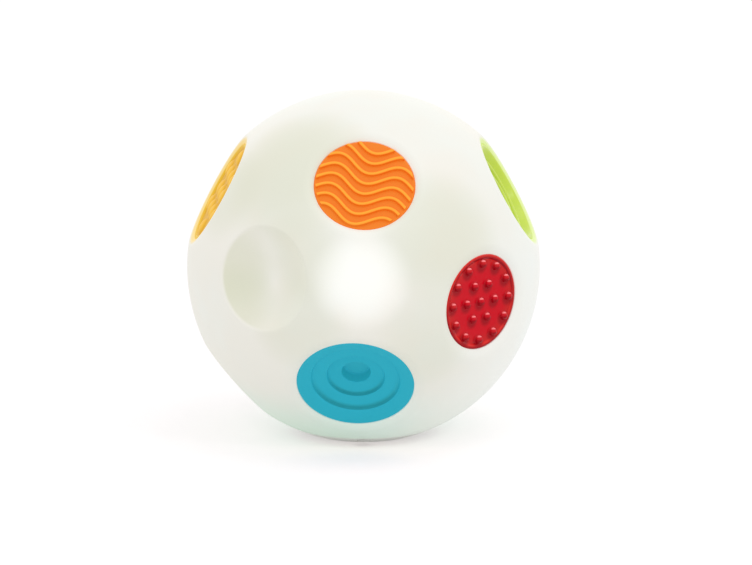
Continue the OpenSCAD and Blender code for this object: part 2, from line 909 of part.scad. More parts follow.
module screw_keeper_front() {
    screw_keeper(-1);
}

module screw_keeper_back() {
    screw_keeper(1);
}

// The cells and their contacts

// One cell: 1 has its nub up, -1 has it down
module cell(i, up) {
    base = up > 0 ? contact_z + spring_len : contact_z;
    color(up > 0 ? "steelblue" : "seagreen")
        at_cell(i) {
            translate([0, 0, up > 0 ? base : base + nub_contact_h])
                cylinder(r = cell_d / 2, h = cell_len - nub_contact_h, $fn = round);
            translate([0, 0, up > 0 ? base + cell_len - nub_contact_h - root : base])
                cylinder(r = nub_contact_r, h = nub_contact_h + root, $fn = small);
        }
}

module cell_1() {
    cell(0, 1);
}

module cell_2() {
    cell(1, -1);
}

module cell_3() {
    cell(2, 1);
}

module contact_disc(i) {
    translate(cell_point(i))
        circle(r = contact_pad_r, $fn = small);
}

module door_bridge_contact() {
    color("gold")
        translate([0, 0, door_top_z])
            linear_extrude(plate_t) {
                contact_disc(0);
                contact_disc(1);
                bar(cell_point(0), cell_point(1), contact_bar_w);
            }
}

module door_end_contact() {
    tab = (strip_x + strip_t) * [cos(strip_az), sin(strip_az)];
    color("gold")
        translate([0, 0, door_top_z])
            linear_extrude(plate_t)
                intersection() {
                    union() {
                        contact_disc(2);
                        bar(cell_point(2), tab, contact_bar_w);
                    }
                    circle(r = bore_r, $fn = fine);
                }
}

module top_bridge_contact() {
    color("gold")
        translate([0, 0, head_contact_z])
            linear_extrude(plate_t) {
                contact_disc(1);
                contact_disc(2);
                bar(cell_point(1), cell_point(2), contact_bar_w);
            }
}

module top_end_contact() {
    color("gold") {
        translate([0, 0, head_contact_z])
            linear_extrude(plate_t)
                contact_disc(0);
        at_cell(0)
            translate([0, 0, head_contact_z + plate_t / 2])
                cylinder(r = pin_r, h = board_top_z + pin_proud - head_contact_z - plate_t / 2, $fn = small);
    }
}

// A coil of round wire between two flat faces, from z0 to z1
module coil(z0, z1) {
    low = z0 + coil_wire_r;
    high = z1 - coil_wire_r;
    rings = ceil(coil_turns * coil_steps);
    rise = (high - low) / (2 * PI * coil_r * coil_turns);
    points = [for (i = [0 : rings])
        let (turn = 360 * coil_turns * i / rings, z = low + (high - low) * i / rings)
        for (j = [0 : coil_sides - 1])
            let (a = 360 * j / coil_sides, out = coil_r + coil_wire_r * cos(a), up = coil_wire_r * sin(a))
            [out * cos(turn) + up * rise * sin(turn), out * sin(turn) - up * rise * cos(turn), z + up]];
    sides = [for (i = [0 : rings - 1]) for (j = [0 : coil_sides - 1])
        let (a = i * coil_sides, b = a + coil_sides, k = (j + 1) % coil_sides)
        each [[a + j, b + j, b + k], [a + j, b + k, a + k]]];
    first = [for (j = [0 : coil_sides - 1]) j];
    last = [for (j = [coil_sides - 1 : -1 : 0]) rings * coil_sides + j];
    polyhedron(points, concat(sides, [first], [last]));
}

module door_springs() {
    color("silver")
        for (i = [0, 2])
            at_cell(i)
                coil(contact_z, contact_z + spring_len);
}

module top_spring() {
    color("silver")
        at_cell(1)
            coil(head_contact_z - spring_len, head_contact_z);
}

module return_strip() {
    color("gold")
        rotate([0, 0, strip_az])
            translate([strip_x, -strip_w / 2, contact_z])
                cube([strip_t, strip_w, board_top_z + pin_proud - contact_z]);
}

// The board and what it carries

module circuit_board() {
    color("darkgreen")
        difference() {
            translate([0, 0, board_z])
                cylinder(r = board_r, h = board_t, $fn = fine);
            strip_slot();
            pin_hole();
            ring_of(3, post_circle_r, cell_azimuths[0])
                translate([0, 0, board_z - cut])
                    cylinder(r = board_screw_r + slot_play, h = board_t + 2 * cut, $fn = small);
        }
}

module board_screws() {
    color("silver")
        ring_of(3, post_circle_r, cell_azimuths[0])
            translate([0, 0, board_top_z])
                mirror([0, 0, 1])
                    screw(board_screw_r, board_screw_head_r, board_screw_head_t,
                        board_t + board_screw_depth - boss_end);
}

module lamp(i) {
    color("lightyellow")
        rotate([0, 0, 45 + i * 360 / lamp_count])
            translate([lamp_circle_r, 0, board_top_z]) {
                cylinder(r = lamp_foot_r, h = lamp_foot_h, $fn = small);
                cylinder(r = lamp_r, h = lamp_h - lamp_r, $fn = small);
                translate([0, 0, lamp_h - lamp_r])
                    sphere(r = lamp_r, $fn = small);
            }
}

module led_1() {
    lamp(0);
}

module led_2() {
    lamp(1);
}

module led_3() {
    lamp(2);
}

module led_4() {
    lamp(3);
}

module control_chip() {
    color("black")
        translate([-chip_w / 2, -chip_w / 2, board_top_z])
            cube([chip_w, chip_w, chip_t]);
}

module motion_switch_can() {
    color("silver")
        translate([0, can_y, board_top_z])
            difference() {
                cylinder(r = can_r, h = can_h, $fn = round);
                translate([0, 0, -cut])
                    cylinder(r = can_r - can_wall, h = can_h - can_wall + cut, $fn = round);
            }
}

module motion_switch_ball() {
    color("gray")
        translate([0, can_y, board_top_z + can_gap + motion_ball_r])
            sphere(r = motion_ball_r, $fn = round);
}

// The power switch, its slider and its leads

module power_switch_body() {
    color("black")
        difference() {
            switch_box(switch_w, switch_l, cap_t, cap_t + switch_h);
            switch_box(stem_w + 2 * slider_gap, stem_l + slider_travel + 2 * slider_gap,
                cap_t - cut, cap_t + stem_rise + slider_gap);
        }
}

module power_slider() {
    on = slider_travel / 2;
    color("orangered") {
        difference() {
            switch_box(knob_w, knob_l, knob_inset, knob_inset + knob_h, on);
            // Grooves for the fingernail
            for (i = [0 : grip_count - 1])
                switch_box(knob_w + cut, grip_w, knob_inset - cut, knob_inset + grip_h,
                    on + (i - (grip_count - 1) / 2) * 2 * grip_w);
        }
        switch_box(stem_w, stem_l, knob_inset + knob_h - root, cap_t + stem_rise, on);
    }
}

module switch_leads() {
    color("red")
        lead_places()
            translate([0, 0, cap_t + switch_h])
                cylinder(r = lead_r, h = board_z - cap_t - switch_h, $fn = small);
}

module diffuser_dome() {
    color("white")
        difference() {
            union() {
                translate([0, 0, head_top_z])
                    cylinder(r = dome_r, h = dome_skirt_h, $fn = fine);
                translate([0, 0, dome_centre_z])
                    sphere(r = dome_r, $fn = fine);
            }
            translate([0, 0, dome_centre_z])
                sphere(r = dome_inner_r, $fn = fine);
            translate([0, 0, dome_centre_z - dome_r - cut])
                cylinder(r = dome_inner_r, h = dome_r + cut, $fn = fine);
            translate([0, 0, dome_centre_z - dome_r - cut])
                cylinder(r = dome_r + cut, h = dome_r + cut - dome_skirt_h, $fn = fine);
            translate([0, 0, head_top_z + collar_h / 2])
                rotate_extrude($fn = fine)
                    translate([collar_r, 0])
                        circle(r = snap_r + collar_gap / 2, $fn = small);
        }
}

ball_shell();
wave_pad();
nub_pad();
step_pad();
bump_pad();
ring_pad();
base_housing();
cap_seal();
cap_screws();
battery_door();
door_seal();
door_screw_front();
door_screw_back();
screw_keeper_front();
screw_keeper_back();
cell_1();
cell_2();
cell_3();
door_bridge_contact();
door_end_contact();
door_springs();
top_bridge_contact();
top_end_contact();
top_spring();
return_strip();
circuit_board();
board_screws();
led_1();
led_2();
led_3();
led_4();
control_chip();
motion_switch_can();
motion_switch_ball();
power_switch_body();
power_slider();
switch_leads();
diffuser_dome();
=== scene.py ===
"""The looks of a light-up sensory ball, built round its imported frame.

Metres, +Z up, and the ball's front faces -Y. A milky shell holds five soft pads in round
pockets. What stays inside or under the ball keeps its CAD solid, with a finish of its own.
"""

import json
import math

import bmesh
import bpy
from mathutils import Matrix, Vector


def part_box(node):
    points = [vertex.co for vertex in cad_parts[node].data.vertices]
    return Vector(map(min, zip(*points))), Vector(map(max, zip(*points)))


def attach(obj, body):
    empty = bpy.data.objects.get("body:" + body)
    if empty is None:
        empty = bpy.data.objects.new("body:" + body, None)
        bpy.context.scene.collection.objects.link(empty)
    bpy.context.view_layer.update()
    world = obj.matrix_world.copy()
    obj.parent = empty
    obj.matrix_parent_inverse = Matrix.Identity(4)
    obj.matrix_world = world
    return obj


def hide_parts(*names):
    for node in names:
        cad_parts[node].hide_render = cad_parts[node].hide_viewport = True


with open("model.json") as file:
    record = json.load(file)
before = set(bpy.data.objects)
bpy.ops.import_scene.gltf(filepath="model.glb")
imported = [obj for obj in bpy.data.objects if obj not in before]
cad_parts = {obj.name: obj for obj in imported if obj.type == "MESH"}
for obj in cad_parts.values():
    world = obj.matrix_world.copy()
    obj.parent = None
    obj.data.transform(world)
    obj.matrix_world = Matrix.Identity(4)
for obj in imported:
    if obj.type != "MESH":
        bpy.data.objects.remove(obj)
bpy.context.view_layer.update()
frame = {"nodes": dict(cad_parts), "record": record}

# The ball, from the frame
shell_low, shell_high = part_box("ball_shell")
BALL_R = (shell_high.x - shell_low.x) / 2
CENTRE = Vector((0, 0, shell_high.z - BALL_R))
SHELL_WALL = 0.0024
BALL_STEPS = 7
INNER_R = BALL_R - SHELL_WALL
SEAT_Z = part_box("cap_seal")[1].z
CAP_HOLE_R = 0.027203
NECK_R = 0.020003
CAP_SCREW_CIRCLE_R = 0.023603
CAP_SCREW_HOLE_R = 0.00125
CAP_BOSS_R = 0.0032
CAP_BOSS_H = 0.0064
CAP_BOSS_END = 0.0006
CAP_SCREW_START = math.radians(30)

# The pockets and their soft lips
LIP_R = 0.005
LIP_SHARE = 0.5
LIP_PROUD = 0.000015
PAD_GAP = 0.0001
PAD_RECESS = 0.0006
PAD_T = 0.0042
PAD_EDGE_R = 0.0006
STEM_R = 0.004
BARB_OUT = 0.0012
BARB_LEN = 0.0032

# The finger dimples
DIMPLE_R = 0.0193
DIMPLE_DEPTH = 0.0065
DIMPLE_RIM_R = 0.0015
DIMPLE_PLACES = ((-36, 5.5), (-88, -42), (134, -3), (-134, -3), (180, 38), (180, -39))

# The pads: radius, azimuth and elevation
WAVE_R = 0.0185
WAVE_PLACE = (0.5, 41)
NUB_PAD_R = 0.0178
NUB_PLACE = (45, -4)
STEP_R = 0.0215
STEP_PLACE = (-3.5, -34.525)
BUMP_PAD_R = 0.0197
BUMP_PLACE = (-87.5, 28.5)
RING_R = 0.0198
RING_PLACE = (87.5, 28.5)

# The orange pad's waves
WAVE_PITCH = 0.00435
WAVE_LENGTH = 0.0229
WAVE_AMP = 0.00275
WAVE_TILT = math.radians(-16)
WAVE_PHASE = math.radians(273)
WAVE_SHIFT = -0.0012
RIDGE_W = 0.0013
RIDGE_H = 0.0011
RIDGE_ROUND = 0.0005
RIDGE_ROUND_STEPS = 4
RIDGE_STEPS = 72
ROOT = 0.0004

# The red pad's nubs
NUB_STEP = 0.00715
NUB_R = 0.0015
NUB_H = 0.002
NUB_BORDER_W = 0.0017
NUB_FLOOR_DEPTH = 0.0006
BORDER_SLOPE = 0.0007
FOOT_R = 0.0006
NUB_FACING_RISE = 0.0003
NUB_SHADOW_DROP = 0.001
NUB_SHADOW_R = 0.0034
NUB_SHADOW_SHARE = 0.8

# The blue pad's steps: share of the pad's radius, share of the hole's depth, and if it is
# an upper corner
CRATER_DEPTH = 0.0105
CRATER_WALL = 0.0022
STEP_ROUND = 0.0002
STEPS = (
    (0.761, 0.2, True),
    (0.743, 0.285, False),
    (0.495, 0.36, True),
    (0.477, 0.455, False),
    (0.248, 0.56, True),
    (0.239, 1, False),
)
CUP_R = STEP_R * STEPS[3][0] + CRATER_WALL

# The yellow pad's bumps
BUMP_STEP = 0.0084
BUMP_R = 0.0037
BUMP_H = 0.0013
BUMP_BORDER_W = 0.0013
BUMP_FLOOR_DEPTH = 0.0009

# The green pad's rings
RING_BIG_R = 0.0142
RING_SMALL_R = 0.0064
RING_BEAD_R = 0.001
RING_BORDER_W = 0.0012
RING_FLOOR_R = 0.0164
RING_DISH_DEPTH = 0.003

# How finely small forms are made
EDGE_STEPS = 5
NUB_STEPS = 10
NUB_SIDES = 24

# The pads' finishes. The two heights are over the pad's edge and the two angles from its middle;
# the tints are below the heights, above them and beyond the angles. The tint above the heights is
# lighter, a painted highlight where the pad stands up.
PAD_LIGHT = 0.22
CAP_LIGHT = 0.16
GRAIN_SIZE = 0.0004
GRAIN_DEPTH = 0.000003
ORANGE_HEIGHTS = (0.0008, 0.0011)
ORANGE_RIM = (16.2, 17.4)
ORANGE_TINTS = ((229, 122, 27), (255, 160, 46), (240, 128, 40))
ORANGE_GLOSS = {"Roughness": 0.5, "Specular IOR Level": 0.25}
YELLOW_HEIGHTS = (-0.0009, 0.0003)
YELLOW_RIM = (16.6, 18.0)
YELLOW_TINTS = ((218, 166, 28), (240, 188, 54), (226, 192, 58))
YELLOW_GLOSS = {"Roughness": 0.45, "Specular IOR Level": 0.3}
GREEN_HEIGHTS = (-0.0029, -0.0021)
GREEN_RIM = (17.0, 18.0)
GREEN_TINTS = ((178, 200, 56), (190, 210, 70), (196, 216, 80))
GREEN_GLOSS = {"Roughness": 0.3, "Coat Weight": 0.1, "Coat Roughness": 0.2}

# The red finish: where its rim's tint starts, and how far up a nub's side has painted shade or a
# painted highlight
RED_GLOSS = {"Roughness": 0.13, "Specular IOR Level": 0.14}
RED_RIM_ANGLES = (10, 16.5)
RED_SHADE_FACING = (0.25, -0.35)
RED_HIGHLIGHT_FACING = (0.55, 0.85)
RED_FLOOR = (0.74, 0.002, 0.014, 1.0)
RED_RIM = (0.66, 0.03, 0.022, 1.0)
# Painted shade under the nubs, and a painted highlight on their upper sides
RED_PAINTED_SHADE = (0.30, 0.002, 0.008, 1.0)
RED_PAINTED_HIGHLIGHT = (1.0, 0.30, 0.32, 1.0)

# The blue finish: painted shade on the low side of its walls, and its hole is lit again at the
# bottom by painted light
BLUE_GLOSS = {"Roughness": 0.6, "Specular IOR Level": 0.25}
BLUE_FLAT = (0.022, 0.42, 0.55, 1.0)
BLUE_PAINTED_WALL_SHADE = (0.015, 0.29, 0.35, 1.0)
BLUE_HOLE = (0.025, 0.41, 0.50, 1.0)
BLUE_HOLE_LIT = (0.065, 0.63, 0.80, 1.0)
WALL_EDGE = 0.0003
WALL_FADE = 0.0003
LOW_SIDE = (-0.95, 0.15)
HOLE_LIT_SHARE = 0.85

# The noise of every finish, and the plain finishes of what stays inside
NOISE_DETAIL = 2.0
SPECK_SIZE = 0.0008
SPECK_DARKER = 0.93
SPECK_ROUGHER = 0.12

# The milky shell's colours, and the light that shows through it. Places are azimuth and elevation;
# the two angles with a place say where its effect is full and where it ends.
MILK_GLOSS = {"Roughness": 0.38, "Emission Strength": 1.0, "Specular IOR Level": 0.3}
CLOUD_SIZE = 0.03
CLOUD_RANGE = (0.35, 0.65)
MILK_COOL = (0.63, 0.64, 0.61, 1.0)
MILK_WARM = (0.64, 0.62, 0.575, 1.0)
# The lower part's colour: painted shade, with a greenish painted reflection
MILK_PAINTED_LOW_SHADE = (0.54, 0.61, 0.55, 1.0)
MILK_SHADED = (0.50, 0.51, 0.40, 1.0)
LIT_THROUGH = (0.30, 0.295, 0.265, 1.0)
# The lower part's light: painted shade, with a greenish painted reflection
LIT_PAINTED_LOW_SHADE = (0.25, 0.30, 0.255, 1.0)
LIT_SHADED = (0.24, 0.24, 0.18, 1.0)
GLOW_COLOUR = (0.45, 0.445, 0.43, 1.0)
GLOW_PLACE = (-1, 7)
GLOW_ANGLE = 18

# The painted shade of the lower part, greenish as a painted reflection: the heights where it
# starts and is full, and the place where less of it shows, because the floor lights it
LOW_SHADE_HEIGHTS = (0.028, 0.004)
FLOOR_LIT_PLACE = (62, -50)
FLOOR_LIT_ANGLES = (4, 30)
FLOOR_LIT_SHARE = 0.6

# Shaded places of the shell: place, the two angles and how strong the shade is
SHADED_PLACES = (
    ((-34, 44), 2, 30, 0.6),
    ((-62, 30), 2, 18, 0.4),
    ((-22, 14), 2, 18, 0.4),
    ((-22, -8), 2, 20, 0.35),
    ((22, -14), 2, 20, 0.3),
    ((28, 20), 2, 26, 0.5),
    ((26, -28), 2, 20, 0.1),
)

# The same inside the front dimple, and how far below the ball's surface it begins
DIMPLE_SHADES = (
    ((-52, 8), 2, 18, 0.55),
    ((-50, -6), 2, 18, 0.65),
)
DIMPLE_SUNK = (0.0012, 0.0)

# The cooler light on the right
LIT_COOL = (0.33, 0.345, 0.34, 1.0)
LIT_COOL_PLACES = (
    ((82, -22), 5, 52, 1.0),
    ((34, -54), 2, 28, 0.45),
)

# The painted glow that the two side pads throw on the lips round them: place, angles, colour and
# light
PAINTED_LIP_GLOWS = (
    (BUMP_PLACE, (18.8, 20.6), (0.70, 0.52, 0.19, 1.0), (0.33, 0.245, 0.08, 1.0)),
    (RING_PLACE, (18.8, 20.6), (0.55, 0.64, 0.24, 1.0), (0.255, 0.305, 0.11, 1.0)),
)

# The photograph's frame, in pixels, and where the ball is in it
PHOTO_W = 752
PHOTO_H = 565
BALL_AT = (363.5, 266)
PIXELS_PER_METRE = 2715
SENSOR_W = 36
CAMERA_DISTANCE = 5
CAMERA_ELEVATION = 12

# The floor and the light
FLOOR_SIZE = 6
FLOOR_COLOUR = (0.8, 0.8, 0.8, 1.0)
FLOOR_SHADOW_SHARE = (0.8, 0.775, 0.785, 1.0)
FLOOR_LIFT = 0.32

# The floor under the blue pad, where the pad's blue light is made up for
FLOOR_WARM_PLACE = (0.0, -0.055, 0.0)
FLOOR_WARM_R = 0.055
FLOOR_WARM = (1.26, 1.05, 1.0, 1.0)
SKY_COLOUR = (1.0, 1.0, 1.0, 1.0)
SKY_LEVEL = 0.85
BACKDROP_COLOUR = (1.0, 1.0, 1.0, 1.0)
BACKDROP_LEVEL = 1.0

# The lamps: name, place, size and power in watts
LAMPS = (
    ("top lamp", (0.3, -0.1, 1.2), 0.6, 1.1),
    ("right front lamp", (0.75, -0.9, 0.95), 0.14, 0.9),
    ("left front lamp", (-0.45, -1.0, 1.05), 0.12, 0.5),
)

# How finely round forms are made
TURN_SIDES = 128
SMALL_SIDES = 32
LIP_STEPS = 12
DIMPLE_STEPS = 20
SMOOTH_ANGLE = math.radians(38)
OVERRUN = 0.001
MERGE_GAP = 0.000002

# Every pocket: its pad's radius, its place and the bore behind it
POCKETS = (
    (WAVE_R, WAVE_PLACE, STEM_R + PAD_GAP),
    (NUB_PAD_R, NUB_PLACE, STEM_R + PAD_GAP),
    (STEP_R, STEP_PLACE, CUP_R + PAD_GAP),
    (BUMP_PAD_R, BUMP_PLACE, STEM_R + PAD_GAP),
    (RING_R, RING_PLACE, STEM_R + PAD_GAP),
)


# Picking, editing and placing pieces


def pick(piece):
    """Makes one piece the only one that the next operator acts on."""
    bpy.ops.object.select_all(action="DESELECT")
    piece.select_set(True)
    bpy.context.view_layer.objects.active = piece


def named(name):
    """Names the piece that was just added and puts its place into its mesh."""
    piece = bpy.context.object
    piece.name = name
    piece.data.name = name
    bpy.ops.object.transform_apply(location=True, rotation=True, scale=True)
    return piece


def open_edit(piece):
    """Opens a piece for modelling, with nothing on it selected."""
    pick(piece)
    bpy.ops.object.mode_set(mode="EDIT")
    bpy.ops.mesh.select_all(action="DESELECT")


def close_edit():
    """Goes back from modelling a piece to handling whole pieces."""
    bpy.ops.object.mode_set(mode="OBJECT")


def choose(piece, kind, test):
    """Selects the vertices, edges or faces of the open piece that pass a test."""
    bpy.ops.mesh.select_mode(type=kind)
    bpy.ops.mesh.select_all(action="DESELECT")
    form = bmesh.from_edit_mesh(piece.data)
    parts = {"VERT": form.verts, "EDGE": form.edges, "FACE": form.faces}[kind]
    for part in parts:
        if test(part):
            part.select_set(True)
    bmesh.update_edit_mesh(piece.data)


def extrude_by(step):
    """Extrudes what is selected on the open piece by a step."""
    bpy.ops.mesh.extrude_region_move(TRANSFORM_OT_translate={"value": step})


def mend_normals():
    """Merges what lies together on the open piece and turns its faces outwards."""
    bpy.ops.mesh.select_all(action="SELECT")
    bpy.ops.mesh.remove_doubles(threshold=MERGE_GAP)
    bpy.ops.mesh.normals_make_consistent(inside=False)


def outward(place):
    """The direction from the middle of the ball to a place on it."""
    azimuth, elevation = (math.radians(angle) for angle in place)
    level = math.cos(elevation)
    return Vector((level * math.sin(azimuth), -level * math.cos(azimuth), math.sin(elevation)))


def facing(place):
    """Turns a piece's +Z to point out of the ball at a place, and moves it there."""
    turn = Matrix.Rotation(math.radians(place[0]), 4, "Z")
    lean = Matrix.Rotation(math.radians(90 - place[1]), 4, "X")
    return Matrix.Translation(CENTRE) @ turn @ lean


def set_at(piece, place):
    """Moves a piece that was made round the Z axis to its place on the ball."""
    pick(piece)
    piece.matrix_world = facing(place)
    bpy.ops.object.transform_apply(location=True, rotation=True, scale=True)
    return piece


def copied(piece, name, where):
    """A copy of a piece, with a mesh of its own, moved by a matrix."""
    twin = piece.copy()
    twin.data = piece.data.copy()
    twin.name = name
    bpy.context.scene.collection.objects.link(twin)
    pick(twin)
    twin.matrix_world = where
    bpy.ops.object.transform_apply(location=True, rotation=True, scale=True)
    return twin


def joined(body, extras):
    """One piece of a body and what is moulded on it."""
    pick(body)
    for extra in extras:
        extra.select_set(True)
    bpy.ops.object.join()
    return body


def combined(piece, tools, operation="DIFFERENCE"):
    """Cuts, adds or keeps what the tool pieces overlap, and takes the tools away."""
    kit = bpy.data.collections.new("tools")
    for tool in tools:
        kit.objects.link(tool)
    pick(piece)
    step = piece.modifiers.new("combined", "BOOLEAN")
    step.operation = operation
    step.solver = "MANIFOLD"
    step.operand_type = "COLLECTION"
    step.collection = kit
    bpy.ops.object.modifier_apply(modifier=step.name)
    for tool in tools:
        bpy.data.objects.remove(tool)
    bpy.data.collections.remove(kit)
    return piece


def smoothed(piece):
    """Shades a piece smooth, apart from its sharp edges."""
    pick(piece)
    bpy.ops.object.shade_smooth_by_angle(angle=SMOOTH_ANGLE)
    return piece


# Turned forms


def arc(centre, radius, start, end, steps):
    """Points of an arc, as (distance from the axis, height), with angles from the outward side."""
    points = []
    for i in range(steps + 1):
        turn = start + (end - start) * i / steps
        points.append((centre[0] + radius * math.cos(turn), centre[1] + radius * math.sin(turn)))
    return points


def turned(name, outline, sides=TURN_SIDES):
    """A closed form turned on the Z axis from an outline of (distance from the axis, height).

    A small square, merged to one point, starts the outline.
    """
    bpy.ops.object.select_all(action="DESELECT")
    bpy.ops.mesh.primitive_plane_add(size=PAD_EDGE_R)
    piece = named(name)
    open_edit(piece)
    bpy.ops.mesh.select_mode(type="VERT")
    bpy.ops.mesh.select_all(action="SELECT")
    bpy.ops.mesh.merge(type="CENTER")
    bpy.ops.transform.translate(value=(outline[0][0], 0, outline[0][1]))
    for here, there in zip(outline, outline[1:]):
        extrude_by((there[0] - here[0], 0, there[1] - here[1]))
    bpy.ops.mesh.select_all(action="SELECT")
    bpy.ops.mesh.spin(steps=sides, angle=math.tau, center=(0, 0, 0), axis=(0, 0, 1))
    mend_normals()
    close_edit()
    return piece


def pole(name, radius, low, high, sides=TURN_SIDES, at=(0, 0)):
    """An upright round rod between two heights."""
    bpy.ops.object.select_all(action="DESELECT")
    bpy.ops.mesh.primitive_cylinder_add(
        vertices=sides, radius=radius, depth=high - low, location=(at[0], at[1], (low + high) / 2)
    )
    return named(name)


# Distances from the middle of the ball, for a pad of a given radius


def lip_centre(radius):
    """The middle of a lip's round section: its distance from the pocket's axis, and its height."""
    out = radius + PAD_GAP + LIP_SHARE * LIP_R
    return out, math.sqrt((BALL_R - LIP_R + LIP_PROUD) ** 2 - out**2)


def edge_height(radius):
    """The height of the top of a pad's edge."""
    return lip_centre(radius)[1] + LIP_R - PAD_RECESS


def floor_height(radius):
    """The height of the floor that a pad lies on."""
    return edge_height(radius) - PAD_T


# The shell


def mouth(crown):
    """The rest of a cutter's outline, from the crown of its lip out past the ball."""
    reach = (BALL_R + LIP_R) / BALL_R
    out = (crown[0] * reach, crown[1] * reach)
    return [out, (out[0], BALL_R + LIP_R), (0, BALL_R + LIP_R)]


def pocket_cutter(radius, bore):
    """What a pocket takes out of the shell: its recess, its soft lip and the bore behind it."""
    middle = lip_centre(radius)
    wall = radius + PAD_GAP
    base = floor_height(radius)
    crown = math.atan2(middle[1], middle[0])
    lip = arc(middle, LIP_R, math.pi - math.acos(LIP_SHARE), crown, LIP_STEPS)
    low = base - SHELL_WALL - OVERRUN
    outline = [(0, low), (bore, low), (bore, base), (wall, base)] + lip + mouth(lip[-1])
    return turned("pocket_cutter", outline)


def dimple_cutter():
    """What a finger dimple takes out of the shell, with the soft rim round it."""
    bowl_r = (DIMPLE_R**2 + DIMPLE_DEPTH**2) / (2 * DIMPLE_DEPTH)
    bowl_z = math.sqrt(BALL_R**2 - DIMPLE_R**2) - DIMPLE_DEPTH + bowl_r
    near = BALL_R - DIMPLE_RIM_R + LIP_PROUD
    far = bowl_r + DIMPLE_RIM_R
    rim_z = (near**2 - far**2 + bowl_z**2) / (2 * bowl_z)
    rim_x = math.sqrt(near**2 - rim_z**2)
    meet = math.atan2(rim_z - bowl_z, rim_x)
    crown = math.atan2(rim_z, rim_x)
    bowl = arc((0, bowl_z), bowl_r, -math.pi / 2, meet, DIMPLE_STEPS)
    rim = arc((rim_x, rim_z), DIMPLE_RIM_R, meet + math.pi, crown, LIP_STEPS)[1:]
    return turned("dimple_cutter", bowl + rim + mouth(rim[-1]))


def dimple_back():
    """The ball of room that a dimple's wall takes from the hollow inside."""
    bowl_r = (DIMPLE_R**2 + DIMPLE_DEPTH**2) / (2 * DIMPLE_DEPTH)
    bowl_z = math.sqrt(BALL_R**2 - DIMPLE_R**2) - DIMPLE_DEPTH + bowl_r
    outline = arc((0, bowl_z), bowl_r + SHELL_WALL, -math.pi / 2, math.pi / 2, DIMPLE_STEPS)
    return turned("dimple_back", outline)


def round_ball(name, radius, steps):
    """A whole ball round the middle of the toy."""
    bpy.ops.object.select_all(action="DESELECT")
    bpy.ops.mesh.primitive_ico_sphere_add(subdivisions=steps, radius=radius, location=CENTRE)
    return named(name)


def screw_towers(name, radius, low, high):
    """The three upright rods of the cap's screws."""
    towers = []
    for i in range(3):
        turn = CAP_SCREW_START + i * math.tau / 3
        at = (CAP_SCREW_CIRCLE_R * math.cos(turn), CAP_SCREW_CIRCLE_R * math.sin(turn))
        towers.append(pole(name, radius, low, high, SMALL_SIDES, at))
    return towers


def shell_hollow():
    """The room inside the shell, less what stands into it."""
    backs = [pole("cap_seat_back", CAP_HOLE_R + SHELL_WALL, -CENTRE.z, SEAT_Z + SHELL_WALL)]
    backs += screw_towers("cap_boss", CAP_BOSS_R, 0, SEAT_Z + SHELL_WALL + CAP_BOSS_H)
    for radius, place, _ in POCKETS:
        base = floor_height(radius) - SHELL_WALL
        back = pole("pocket_back", radius + PAD_GAP + SHELL_WALL, base, BALL_R)
        backs.append(set_at(back, place))
    for place in DIMPLE_PLACES:
        backs.append(set_at(dimple_back(), place))
    return combined(round_ball("shell_hollow", INNER_R, BALL_STEPS - 1), backs)


def milky_shell():
    """The shell: a hollow ball with its pockets, dimples and the holes for the cap."""
    top = SEAT_Z + SHELL_WALL + CAP_BOSS_H - CAP_BOSS_END
    cutters = [
        shell_hollow(),
        pole("cap_hole", CAP_HOLE_R, -CENTRE.z, SEAT_Z),
        pole("neck_hole", NECK_R, 0, SEAT_Z + SHELL_WALL + OVERRUN),
    ]
    cutters += screw_towers("cap_screw_hole", CAP_SCREW_HOLE_R, 0, top)
    for radius, place, bore in POCKETS:
        cutters.append(set_at(pocket_cutter(radius, bore), place))
    for place in DIMPLE_PLACES:
        cutters.append(set_at(dimple_cutter(), place))
    return smoothed(combined(round_ball("milky_shell", BALL_R, BALL_STEPS), cutters))


# The pads


def stem_outline(base, back, radius):
    """The lower part of a pad's outline: its stem, with the barb that holds behind the pocket."""
    return [
        (0, base),
        (radius - PAD_EDGE_R, base),
        (radius, base + PAD_EDGE_R),
        (radius, back - BARB_LEN / 2),
        (radius + BARB_OUT, back),
        (radius, back),
    ]


def plain_stem(radius):
    """The stem of a pad of a given radius, up to the pocket's floor."""
    floor = floor_height(radius)
    back = floor - SHELL_WALL
    return stem_outline(back - BARB_LEN, back, STEM_R) + [(STEM_R, floor), (radius, floor)]


def pad_edge(radius):
    """The rounding round the top of a pad's side."""
    corner = (radius - PAD_EDGE_R, edge_height(radius) - PAD_EDGE_R)
    return arc(corner, PAD_EDGE_R, 0, math.pi / 2, EDGE_STEPS)


def soft_slope(upper, lower):
    """Points of a smooth fall from an upper level to a lower one."""
    points = []
    for i in range(NUB_STEPS + 1):
        share = i / NUB_STEPS
        fall = (1 - math.cos(math.pi * share)) / 2
        out = upper[0] + (lower[0] - upper[0]) * share
        points.append((out, upper[1] + (lower[1] - upper[1]) * fall))
    return points


def place_column(strip, x, side, lift):
    """Moves the points of one side of a strip, at one distance along it, up or down the page."""
    choose(strip, "VERT", lambda v: abs(v.co.x - x) < RIDGE_W / 10 and v.co.y * side > WAVE_R / 2)
    bpy.ops.transform.translate(value=(0, lift, 0))


def on_a_long_top_edge(edge, top):
    """Whether an edge of the strip lies along its length on its top."""
    length = abs(edge.verts[0].co.x - edge.verts[1].co.x)
    return min(v.co.z for v in edge.verts) > top and length > RIDGE_W / 10


